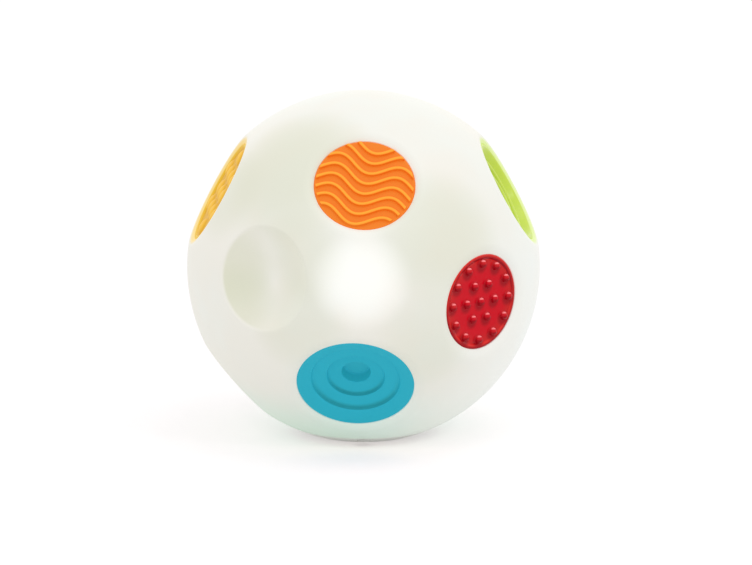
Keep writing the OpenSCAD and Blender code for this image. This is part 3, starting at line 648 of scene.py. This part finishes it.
def wave_ridge(base):
    """One wavy ridge along X: a strip bent into waves, raised, and rounded along its top."""
    reach = WAVE_R + WAVE_PITCH
    bpy.ops.object.select_all(action="DESELECT")
    bpy.ops.mesh.primitive_grid_add(
        x_subdivisions=RIDGE_STEPS, y_subdivisions=1, size=2 * reach, location=(0, 0, base)
    )
    ridge = named("wave_ridge")
    open_edit(ridge)
    for i in range(RIDGE_STEPS + 1):
        x = reach * (2 * i / RIDGE_STEPS - 1)
        turn = math.tau * x / WAVE_LENGTH + WAVE_PHASE
        slope = WAVE_AMP * math.tau / WAVE_LENGTH * math.cos(turn)
        half = RIDGE_W / 2 * math.sqrt(1 + slope**2)
        middle = WAVE_AMP * math.sin(turn)
        place_column(ridge, x, 1, middle + half - reach)
        place_column(ridge, x, -1, middle - half + reach)
    bpy.ops.mesh.select_all(action="SELECT")
    extrude_by((0, 0, RIDGE_H + ROOT))
    mend_normals()
    top = base + RIDGE_H + ROOT / 2
    choose(ridge, "EDGE", lambda edge: on_a_long_top_edge(edge, top))
    bpy.ops.mesh.bevel(offset=RIDGE_ROUND, segments=RIDGE_ROUND_STEPS, affect="EDGES")
    close_edit()
    return ridge


def wave_pad():
    """The orange pad: wavy ridges on a flat top."""
    top = edge_height(WAVE_R)
    body = turned("orange_wave_pad", plain_stem(WAVE_R) + pad_edge(WAVE_R) + [(0, top)])
    master = wave_ridge(top - ROOT)
    rows = math.floor((WAVE_R + WAVE_AMP) / WAVE_PITCH)
    tilt = Matrix.Rotation(WAVE_TILT, 4, "Z")
    ridges = []
    for k in range(1 - rows, rows + 1):
        where = tilt @ Matrix.Translation((0, WAVE_SHIFT + k * WAVE_PITCH, 0))
        ridges.append(copied(master, "wave_ridge_copy", where))
    bpy.data.objects.remove(master)
    rim = pole("wave_rim", WAVE_R - PAD_EDGE_R, top - 2 * ROOT, top + 2 * RIDGE_H)
    waves = combined(joined(ridges[0], ridges[1:]), [rim], "INTERSECT")
    return smoothed(set_at(joined(body, [waves]), WAVE_PLACE))


def nub_places():
    """Where the nubs stand on their pad: one in the middle and two rings round it."""
    places = [Vector((0, 0, 0))]
    for ring, count in ((1, 6), (2, 12)):
        for i in range(count):
            turn = i * math.tau / count
            places.append(Vector((math.cos(turn), math.sin(turn), 0)) * ring * NUB_STEP)
    return places


def nub_pad():
    """The red pad: nubs with rounded feet on a sunk floor."""
    top = edge_height(NUB_PAD_R)
    base = top - NUB_FLOOR_DEPTH
    inner = NUB_PAD_R - NUB_BORDER_W
    slope = soft_slope((inner + BORDER_SLOPE, top), (inner - BORDER_SLOPE, base))
    outline = plain_stem(NUB_PAD_R) + pad_edge(NUB_PAD_R) + slope + [(0, base)]
    body = turned("red_nub_pad", outline)
    crown = arc((0, base + NUB_H - NUB_R), NUB_R, 0, math.pi / 2, NUB_STEPS)
    skirt = arc((NUB_R + FOOT_R, base + FOOT_R), FOOT_R, -math.pi / 2, -math.pi, EDGE_STEPS)
    foot = [(0, base - ROOT), (NUB_R + FOOT_R, base - ROOT)]
    master = turned("nub", foot + skirt + crown, NUB_SIDES)
    nubs = [copied(master, "nub_copy", Matrix.Translation(out)) for out in nub_places()]
    bpy.data.objects.remove(master)
    pad = smoothed(set_at(joined(body, nubs), NUB_PLACE))
    keep_facing(pad, base + NUB_FACING_RISE)
    return pad


def keep_facing(pad, level):
    """Keeps on a pad's mesh how far each point of a nub faces up, from -1 to 1."""
    facing_up = pad.data.attributes.new("facing_up", "FLOAT", "POINT")
    axis = outward(NUB_PLACE)
    for point in pad.data.vertices:
        stands_up = (point.co - CENTRE).dot(axis) > level
        facing_up.data[point.index].value = point.normal.z if stands_up else 0.0


def step_pad():
    """The blue pad: a barbed cup whose steps go down to a hole."""
    top = edge_height(STEP_R)
    floor = floor_height(STEP_R)
    back = floor - SHELL_WALL
    base = top - CRATER_DEPTH - CRATER_WALL
    outline = stem_outline(base, back, CUP_R) + [(CUP_R, floor), (STEP_R, floor)]
    outline += pad_edge(STEP_R)
    for share, depth_share, turn_in in STEPS:
        corner = (STEP_R * share, top - CRATER_DEPTH * depth_share)
        if turn_in:
            middle = (corner[0] + STEP_ROUND, corner[1] - STEP_ROUND)
            outline += arc(middle, STEP_ROUND, math.pi / 2, math.pi, EDGE_STEPS)
        else:
            outline.append(corner)
    outline.append((0, top - CRATER_DEPTH))
    return smoothed(set_at(turned("blue_step_pad", outline), STEP_PLACE))


def bump_pad():
    """The yellow pad: low round bumps on a sunk floor."""
    top = edge_height(BUMP_PAD_R)
    base = top - BUMP_FLOOR_DEPTH
    inner = BUMP_PAD_R - BUMP_BORDER_W
    slope = soft_slope((inner + BORDER_SLOPE, top), (inner - BORDER_SLOPE, base))
    outline = plain_stem(BUMP_PAD_R) + pad_edge(BUMP_PAD_R) + slope + [(0, base)]
    body = turned("yellow_bump_pad", outline)
    sphere_r = (BUMP_R**2 + BUMP_H**2) / (2 * BUMP_H)
    rise = math.acos(BUMP_R / sphere_r)
    dome = arc((0, base + BUMP_H - sphere_r), sphere_r, rise, math.pi / 2, NUB_STEPS)
    master = turned("bump", [(0, base - ROOT), (BUMP_R, base - ROOT)] + dome, SMALL_SIDES)
    # One bump in the middle, and two rings of six round it
    bumps = [copied(master, "bump_copy", Matrix.Identity(4))]
    for i in range(6):
        for reach, start in ((BUMP_STEP, 0), (BUMP_STEP * math.sqrt(3), math.pi / 6)):
            turn = start + i * math.tau / 6
            out = Vector((math.cos(turn), math.sin(turn), 0)) * reach
            bumps.append(copied(master, "bump_copy", Matrix.Translation(out)))
    bpy.data.objects.remove(master)
    return smoothed(set_at(joined(body, bumps), BUMP_PLACE))


def ring_bead(radius, height):
    """One raised ring round the Z axis."""
    bpy.ops.object.select_all(action="DESELECT")
    bpy.ops.mesh.primitive_torus_add(
        major_radius=radius,
        minor_radius=RING_BEAD_R,
        major_segments=TURN_SIDES,
        minor_segments=SMALL_SIDES,
        location=(0, 0, height),
    )
    return named("ring_bead")


def ring_pad():
    """The green pad: two rings in a shallow dish."""
    top = edge_height(RING_R)
    base = top - RING_DISH_DEPTH
    slope = soft_slope((RING_R - RING_BORDER_W, top), (RING_FLOOR_R, base))
    body = turned("green_ring_pad", plain_stem(RING_R) + pad_edge(RING_R) + slope + [(0, base)])
    beads = [ring_bead(RING_BIG_R, base), ring_bead(RING_SMALL_R, base)]
    return smoothed(set_at(joined(body, beads), RING_PLACE))


# Finishes


class Reading:
    """One socket of a finish, so that its maths reads as an expression."""

    def __init__(self, finish, socket):
        self.finish = finish
        self.socket = socket

    def maths(self, operation, first, second):
        """One step of maths with two values, each a number or another reading."""
        return self.finish.node("ShaderNodeMath", {"operation": operation}, {0: first, 1: second})

    def __add__(self, other):
        return self.maths("ADD", self, other)

    def __radd__(self, other):
        return self.maths("ADD", other, self)

    def __sub__(self, other):
        return self.maths("SUBTRACT", self, other)

    def __rsub__(self, other):
        return self.maths("SUBTRACT", other, self)

    def __mul__(self, other):
        return self.maths("MULTIPLY", self, other)

    def __rmul__(self, other):
        return self.maths("MULTIPLY", other, self)


class Finish:
    """A material in the making, with its Principled shader."""

    def __init__(self, name, constants):
        self.material = bpy.data.materials.new(name)
        self.material.use_nodes = True
        self.nodes = self.material.node_tree.nodes
        self.links = self.material.node_tree.links
        self.shader = self.nodes["Principled BSDF"]
        self.fill(self.shader, constants)

    def fill(self, node, inputs):
        """Sets the values of a node's sockets, or links them."""
        for key, value in inputs.items():
            socket = node.inputs[key]
            if isinstance(value, Reading):
                self.links.new(value.socket, socket)
            else:
                socket.default_value = value

    def node(self, kind, settings, inputs, output=0):
        """Adds a node of a kind, with its settings first and then its sockets."""
        added = self.nodes.new(kind)
        for key, value in settings.items():
            setattr(added, key, value)
        self.fill(added, inputs)
        return Reading(self, added.outputs[output])

    def drive(self, inputs):
        """Feeds sockets of the shader."""
        self.fill(self.shader, inputs)

    def place(self):
        """Where a point of the piece lies, in metres."""
        return self.node("ShaderNodeTexCoord", {}, {}, "Object")

    def dot(self, first, second):
        """The dot product of two vectors."""
        product = {"operation": "DOT_PRODUCT"}
        return self.node("ShaderNodeVectorMath", product, {0: first, 1: second}, "Value")

    def from_centre(self):
        """The vector from the middle of the ball to a point."""
        return self.node(
            "ShaderNodeVectorMath", {"operation": "SUBTRACT"}, {0: self.place(), 1: tuple(CENTRE)}
        )

    def bearing(self):
        """The direction from the middle of the ball to a point."""
        whole = {"operation": "NORMALIZE"}
        return self.node("ShaderNodeVectorMath", whole, {0: self.from_centre()})

    def height_over(self, place, level):
        """How far a point stands over a pad's edge, along the pad's own axis."""
        return self.dot(self.from_centre(), tuple(outward(place))) - level

    def eased(self, value, low, high):
        """0 below one value and 1 above another, with a smooth step between."""
        return self.node(
            "ShaderNodeMapRange",
            {"interpolation_type": "SMOOTHSTEP"},
            {"Value": value, "From Min": low, "From Max": high},
        )

    def spot(self, place, inner, outer):
        """1 within an angle of a place on the ball, falling softly to 0 at a wider angle."""
        near = self.dot(self.bearing(), tuple(outward(place)))
        return self.eased(near, math.cos(math.radians(outer)), math.cos(math.radians(inner)))

    def grain(self, size):
        """Soft noise with features of about a size, in metres."""
        inputs = {"Vector": self.place(), "Scale": 1 / size, "Detail": NOISE_DETAIL}
        return self.node("ShaderNodeTexNoise", {}, inputs)

    def mixed(self, share, first, second):
        """A colour between two, by a share from 0 to 1. Sockets 6 and 7 are the node's colours."""
        colours = {"data_type": "RGBA"}
        return self.node("ShaderNodeMix", colours, {0: share, 6: first, 7: second}, 2)

    def bump(self, height, depth):
        """A fine surface relief of a depth in metres."""
        inputs = {"Height": height, "Distance": depth, "Strength": 1.0}
        return self.node("ShaderNodeBump", {}, inputs, "Normal")


def colour(red, green, blue):
    """A colour as it is seen on screen, from 0 to 255, made linear for the shader."""
    linear = []
    for channel in (red, green, blue):
        share = channel / 255
        linear.append(share / 12.92 if share <= 0.04045 else ((share + 0.055) / 1.055) ** 2.4)
    return (*linear, 1.0)


def dress(piece, finish):
    """Gives a piece one finish in place of what it had."""
    piece.data.materials.clear()
    piece.data.materials.append(finish.material)


def milky_finish():
    """Milky moulded plastic, with painted light of the lamps inside showing through it, painted
    shade low down and in places, and the pads' painted glow round them.
    """
    finish = Finish("milky shell", MILK_GLOSS)
    height = finish.dot(finish.place(), (0.0, 0.0, 1.0))
    # Painted shade low down, greenish as a painted reflection, less where the floor lights it
    low = 1 - finish.eased(height, LOW_SHADE_HEIGHTS[1], LOW_SHADE_HEIGHTS[0])
    low = low * (1 - finish.spot(FLOOR_LIT_PLACE, *FLOOR_LIT_ANGLES) * FLOOR_LIT_SHARE)
    cloud = finish.eased(finish.grain(CLOUD_SIZE), *CLOUD_RANGE)
    base = finish.mixed(low, finish.mixed(cloud, MILK_COOL, MILK_WARM), MILK_PAINTED_LOW_SHADE)
    lit = finish.mixed(low, LIT_THROUGH, LIT_PAINTED_LOW_SHADE)
    for place, inner, outer, share in SHADED_PLACES:
        shade = finish.spot(place, inner, outer) * share
        base = finish.mixed(shade, base, MILK_SHADED)
        lit = finish.mixed(shade, lit, LIT_SHADED)
    length = {"operation": "LENGTH"}
    reach = finish.node("ShaderNodeVectorMath", length, {0: finish.from_centre()}, "Value")
    sunk = 1 - finish.eased(reach, BALL_R - DIMPLE_SUNK[0], BALL_R - DIMPLE_SUNK[1])
    for place, inner, outer, share in DIMPLE_SHADES:
        shade = finish.spot(place, inner, outer) * sunk * share
        base = finish.mixed(shade, base, MILK_SHADED)
        lit = finish.mixed(shade, lit, LIT_SHADED)
    for place, inner, outer, share in LIT_COOL_PLACES:
        lit = finish.mixed(finish.spot(place, inner, outer) * share, lit, LIT_COOL)
    lit = finish.mixed(finish.spot(GLOW_PLACE, 0, GLOW_ANGLE), lit, GLOW_COLOUR)
    # The side pads' painted glow on the lips round them
    for place, angles, painted_glow_base, painted_glow_light in PAINTED_LIP_GLOWS:
        near = finish.spot(place, *angles)
        base = finish.mixed(near, base, painted_glow_base)
        lit = finish.mixed(near, lit, painted_glow_light)
    finish.drive({"Base Color": base, "Emission Color": lit})
    return finish


def soft_finish(name, pad, heights, tints, rim, gloss):
    """Soft moulded elastomer, lit a little from behind, with a painted highlight where it stands
    up.
    """
    finish = Finish(name, {"Emission Strength": PAD_LIGHT, **gloss})
    below, painted_highlight_tint, round_rim = (colour(*tint) for tint in tints)
    # Painted highlight: lighter where the pad stands up
    share = finish.eased(finish.height_over(*pad), *heights)
    tint = finish.mixed(share, below, painted_highlight_tint)
    tint = finish.mixed(finish.spot(pad[0], *rim), round_rim, tint)
    relief = finish.bump(finish.grain(GRAIN_SIZE), GRAIN_DEPTH)
    finish.drive({"Base Color": tint, "Emission Color": tint, "Normal": relief})
    return finish


def nub_finish():
    """The red elastomer: glossy, with a painted shadow and painted shade under each nub and a
    painted highlight on its upper side.
    """
    finish = Finish("red elastomer", {"Emission Strength": PAD_LIGHT, **RED_GLOSS})
    up = finish.node("ShaderNodeAttribute", {"attribute_name": "facing_up"}, {}, "Fac")
    point = finish.place()
    base = Vector((0, -NUB_SHADOW_DROP, edge_height(NUB_PAD_R) - NUB_FLOOR_DEPTH))
    shadow = 0
    for out in nub_places():
        spot = tuple(facing(NUB_PLACE) @ (base + out))
        apart = {"operation": "DISTANCE"}
        near = finish.node("ShaderNodeVectorMath", apart, {0: point, 1: spot}, "Value")
        shadow = shadow + (1 - finish.eased(near, NUB_R, NUB_SHADOW_R))
    tint = finish.mixed(finish.spot(NUB_PLACE, *RED_RIM_ANGLES), RED_RIM, RED_FLOOR)
    # Painted shadow under each nub, painted shade on its lower side and a painted highlight on its
    # upper side
    tint = finish.mixed(shadow * NUB_SHADOW_SHARE, tint, RED_PAINTED_SHADE)
    tint = finish.mixed(finish.eased(up, *RED_SHADE_FACING), tint, RED_PAINTED_SHADE)
    tint = finish.mixed(finish.eased(up, *RED_HIGHLIGHT_FACING), tint, RED_PAINTED_HIGHLIGHT)
    relief = finish.bump(finish.grain(GRAIN_SIZE), GRAIN_DEPTH)
    finish.drive({"Base Color": tint, "Emission Color": tint, "Normal": relief})
    return finish


def stepped_finish():
    """The blue elastomer: painted shade down the low side of its steps' walls, and painted light
    again in its hole.
    """
    finish = Finish("blue elastomer", {"Emission Strength": PAD_LIGHT, **BLUE_GLOSS})
    depth = 0 - finish.height_over(STEP_PLACE, edge_height(STEP_R))
    uphill = facing(STEP_PLACE).to_3x3() @ Vector((0, 1, 0))
    side = finish.dot(finish.from_centre(), tuple(uphill))
    tint = BLUE_FLAT
    # The two outer walls, each between an upper and a lower corner of the steps
    for upper, lower in ((0, 1), (2, 3)):
        start = CRATER_DEPTH * STEPS[upper][1]
        end = CRATER_DEPTH * STEPS[lower][1]
        ring = STEP_R * STEPS[upper][0]
        wall = finish.eased(depth, start, start + WALL_EDGE)
        wall = wall * (1 - finish.eased(depth, end, end + WALL_FADE))
        low_side = 1 - finish.eased(side, LOW_SIDE[0] * ring, LOW_SIDE[1] * ring)
        # Painted shade on the low side of each outer wall
        tint = finish.mixed(wall * low_side, tint, BLUE_PAINTED_WALL_SHADE)
    hole = CRATER_DEPTH * STEPS[4][1]
    tint = finish.mixed(finish.eased(depth, hole, hole + 2 * WALL_EDGE), tint, BLUE_HOLE)
    bottom = finish.eased(depth, HOLE_LIT_SHARE * CRATER_DEPTH, CRATER_DEPTH)
    lit = finish.mixed(bottom, tint, BLUE_HOLE_LIT)
    relief = finish.bump(finish.grain(GRAIN_SIZE), GRAIN_DEPTH)
    finish.drive({"Base Color": tint, "Emission Color": lit, "Normal": relief})
    return finish


def fine_finish(name, tint, roughness, metallic=0.0, light=0.0):
    """A plain moulded or metal finish, with a slight unevenness, lit from behind if it is thin."""
    lit = {"Emission Color": tint, "Emission Strength": light}
    finish = Finish(name, {"Metallic": metallic, **lit})
    speck = finish.grain(SPECK_SIZE)
    darker = tuple(SPECK_DARKER * channel for channel in tint[:3]) + (1.0,)
    finish.drive({
        "Base Color": finish.mixed(speck, darker, tint),
        "Roughness": roughness + SPECK_ROUGHER * (speck - 0.5),
    })
    return finish


def inner_finishes():
    """Finishes of the pieces that keep their CAD solids, by the record's slots."""
    return {
        "white_plastic": fine_finish("white plastic", colour(236, 236, 231), 0.5, light=CAP_LIGHT),
        "grey_rubber": fine_finish("grey seal rubber", colour(118, 118, 120), 0.75),
        "screw_steel": fine_finish("zinc plated screws", colour(186, 186, 188), 0.35, 1.0),
        "spring_steel": fine_finish("nickel plated springs", colour(198, 198, 198), 0.28, 1.0),
        "contact_plate": fine_finish("nickel plated contacts", colour(204, 202, 192), 0.3, 1.0),
        "switch_can": fine_finish("drawn switch can", colour(190, 192, 194), 0.25, 1.0),
        "cell_sleeve": fine_finish("cell sleeve", colour(40, 78, 128), 0.3),
        "green_board": fine_finish("green board", colour(14, 72, 36), 0.35),
        "lamp_lens": fine_finish("lamp lens", colour(243, 240, 210), 0.15),
        "black_plastic": fine_finish("black plastic", colour(22, 22, 22), 0.5),
        "slider_plastic": fine_finish("orange slider", colour(228, 104, 34), 0.5),
        "lead_sleeve": fine_finish("red lead sleeve", colour(190, 18, 14), 0.4),
        "dome_plastic": fine_finish("diffuser dome", colour(243, 243, 238), 0.35),
    }


# Building the ball


def finish_piece(piece, finish, node):
    """Dresses a detailed piece and lets it stand for its CAD node."""
    dress(piece, finish)
    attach(piece, "ball")
    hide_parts(node)


def build_ball():
    """Makes the shell and the five pads, each in place of its CAD node."""
    finish_piece(milky_shell(), milky_finish(), "ball_shell")
    orange = soft_finish(
        "orange elastomer", (WAVE_PLACE, edge_height(WAVE_R)),
        ORANGE_HEIGHTS, ORANGE_TINTS, ORANGE_RIM, ORANGE_GLOSS,
    )
    finish_piece(wave_pad(), orange, "wave_pad")
    finish_piece(nub_pad(), nub_finish(), "nub_pad")
    finish_piece(step_pad(), stepped_finish(), "step_pad")
    yellow = soft_finish(
        "yellow elastomer", (BUMP_PLACE, edge_height(BUMP_PAD_R)),
        YELLOW_HEIGHTS, YELLOW_TINTS, YELLOW_RIM, YELLOW_GLOSS,
    )
    finish_piece(bump_pad(), yellow, "bump_pad")
    green = soft_finish(
        "green elastomer", (RING_PLACE, edge_height(RING_R)),
        GREEN_HEIGHTS, GREEN_TINTS, GREEN_RIM, GREEN_GLOSS,
    )
    finish_piece(ring_pad(), green, "ring_pad")


def dress_inside():
    """Gives the pieces that keep their CAD solids their finishes."""
    finishes = inner_finishes()
    for row in frame["record"]["subparts"]:
        if row["material_slot"] in finishes:
            dress(frame["nodes"][row["node"]], finishes[row["material_slot"]])


# The floor, the lamps and the camera


def floor_light(nodes, links):
    """The floor's own light, a little warmer where the blue pad's light falls."""
    where = nodes.new("ShaderNodeTexCoord")
    apart = nodes.new("ShaderNodeVectorMath")
    apart.operation = "DISTANCE"
    apart.inputs[1].default_value = FLOOR_WARM_PLACE
    near = nodes.new("ShaderNodeMapRange")
    near.interpolation_type = "SMOOTHSTEP"
    near.inputs["From Min"].default_value = FLOOR_WARM_R
    near.inputs["From Max"].default_value = 0.0
    warm = nodes.new("ShaderNodeMix")
    warm.data_type = "RGBA"
    warm.inputs[6].default_value = SKY_COLOUR
    warm.inputs[7].default_value = FLOOR_WARM
    lift = nodes.new("ShaderNodeEmission")
    lift.inputs["Strength"].default_value = FLOOR_LIFT
    links.new(where.outputs["Object"], apart.inputs[0])
    links.new(apart.outputs["Value"], near.inputs["Value"])
    links.new(near.outputs[0], warm.inputs[0])
    links.new(warm.outputs[2], lift.inputs["Color"])
    return lift


def pale_floor():
    """A white floor that keeps the ball's shadow, and meets the white behind it for the camera."""
    bpy.ops.object.select_all(action="DESELECT")
    bpy.ops.mesh.primitive_plane_add(size=FLOOR_SIZE)
    floor = named("floor")
    material = bpy.data.materials.new("pale floor")
    material.use_nodes = True
    nodes = material.node_tree.nodes
    links = material.node_tree.links
    nodes.remove(nodes["Principled BSDF"])
    matte = nodes.new("ShaderNodeBsdfDiffuse")
    matte.inputs["Color"].default_value = FLOOR_COLOUR
    softer = nodes.new("ShaderNodeBsdfDiffuse")
    softer.inputs["Color"].default_value = FLOOR_SHADOW_SHARE
    lift = floor_light(nodes, links)
    seen = nodes.new("ShaderNodeAddShader")
    links.new(softer.outputs[0], seen.inputs[0])
    links.new(lift.outputs[0], seen.inputs[1])
    rays = nodes.new("ShaderNodeLightPath")
    choice = nodes.new("ShaderNodeMixShader")
    links.new(rays.outputs["Is Camera Ray"], choice.inputs[0])
    links.new(matte.outputs[0], choice.inputs[1])
    links.new(seen.outputs[0], choice.inputs[2])
    links.new(choice.outputs[0], nodes["Material Output"].inputs["Surface"])
    floor.data.materials.append(material)


def white_surroundings():
    """Soft light from all round, behind a background that is plain white for the camera."""
    world = bpy.data.worlds.new("white surroundings")
    bpy.context.scene.world = world
    world.use_nodes = True
    nodes = world.node_tree.nodes
    links = world.node_tree.links
    light = nodes["Background"]
    light.inputs["Color"].default_value = SKY_COLOUR
    light.inputs["Strength"].default_value = SKY_LEVEL
    seen = nodes.new("ShaderNodeBackground")
    seen.inputs["Color"].default_value = BACKDROP_COLOUR
    seen.inputs["Strength"].default_value = BACKDROP_LEVEL
    rays = nodes.new("ShaderNodeLightPath")
    sharp = nodes.new("ShaderNodeMath")
    sharp.operation = "MAXIMUM"
    links.new(rays.outputs["Is Glossy Ray"], sharp.inputs[0])
    links.new(rays.outputs["Is Transmission Ray"], sharp.inputs[1])
    shown = nodes.new("ShaderNodeMath")
    shown.operation = "MAXIMUM"
    links.new(rays.outputs["Is Camera Ray"], shown.inputs[0])
    links.new(sharp.outputs[0], shown.inputs[1])
    choice = nodes.new("ShaderNodeMixShader")
    links.new(shown.outputs[0], choice.inputs[0])
    links.new(light.outputs[0], choice.inputs[1])
    links.new(seen.outputs[0], choice.inputs[2])
    links.new(choice.outputs[0], nodes["World Output"].inputs["Surface"])


def soft_lamp(name, place, size, watts):
    """A square soft lamp that looks at the ball."""
    lamp = bpy.data.lights.new(name, "AREA")
    lamp.shape = "SQUARE"
    lamp.size = size
    lamp.energy = watts
    stand = bpy.data.objects.new(name, lamp)
    bpy.context.scene.collection.objects.link(stand)
    stand.location = place
    stand.rotation_euler = (CENTRE - Vector(place)).to_track_quat("-Z", "Y").to_euler()


def camera():
    """A long lens from the front, a little above the ball."""
    lens = bpy.data.cameras.new("camera")
    lens.sensor_width = SENSOR_W
    lens.lens = SENSOR_W * CAMERA_DISTANCE * PIXELS_PER_METRE / PHOTO_W
    lens.shift_x = (PHOTO_W / 2 - BALL_AT[0]) / PHOTO_W
    lens.shift_y = (BALL_AT[1] - PHOTO_H / 2) / PHOTO_W
    lens.clip_end = 2 * CAMERA_DISTANCE
    eye = bpy.data.objects.new("camera", lens)
    bpy.context.scene.collection.objects.link(eye)
    back = outward((0, CAMERA_ELEVATION))
    eye.location = CENTRE + back * CAMERA_DISTANCE
    eye.rotation_euler = (-back).to_track_quat("-Z", "Y").to_euler()
    bpy.context.scene.camera = eye


build_ball()
dress_inside()
pale_floor()
white_surroundings()
for lamp_name, lamp_place, lamp_size, lamp_power in LAMPS:
    soft_lamp(lamp_name, lamp_place, lamp_size, lamp_power)
camera()
bpy.context.scene.view_settings.view_transform = "Standard"
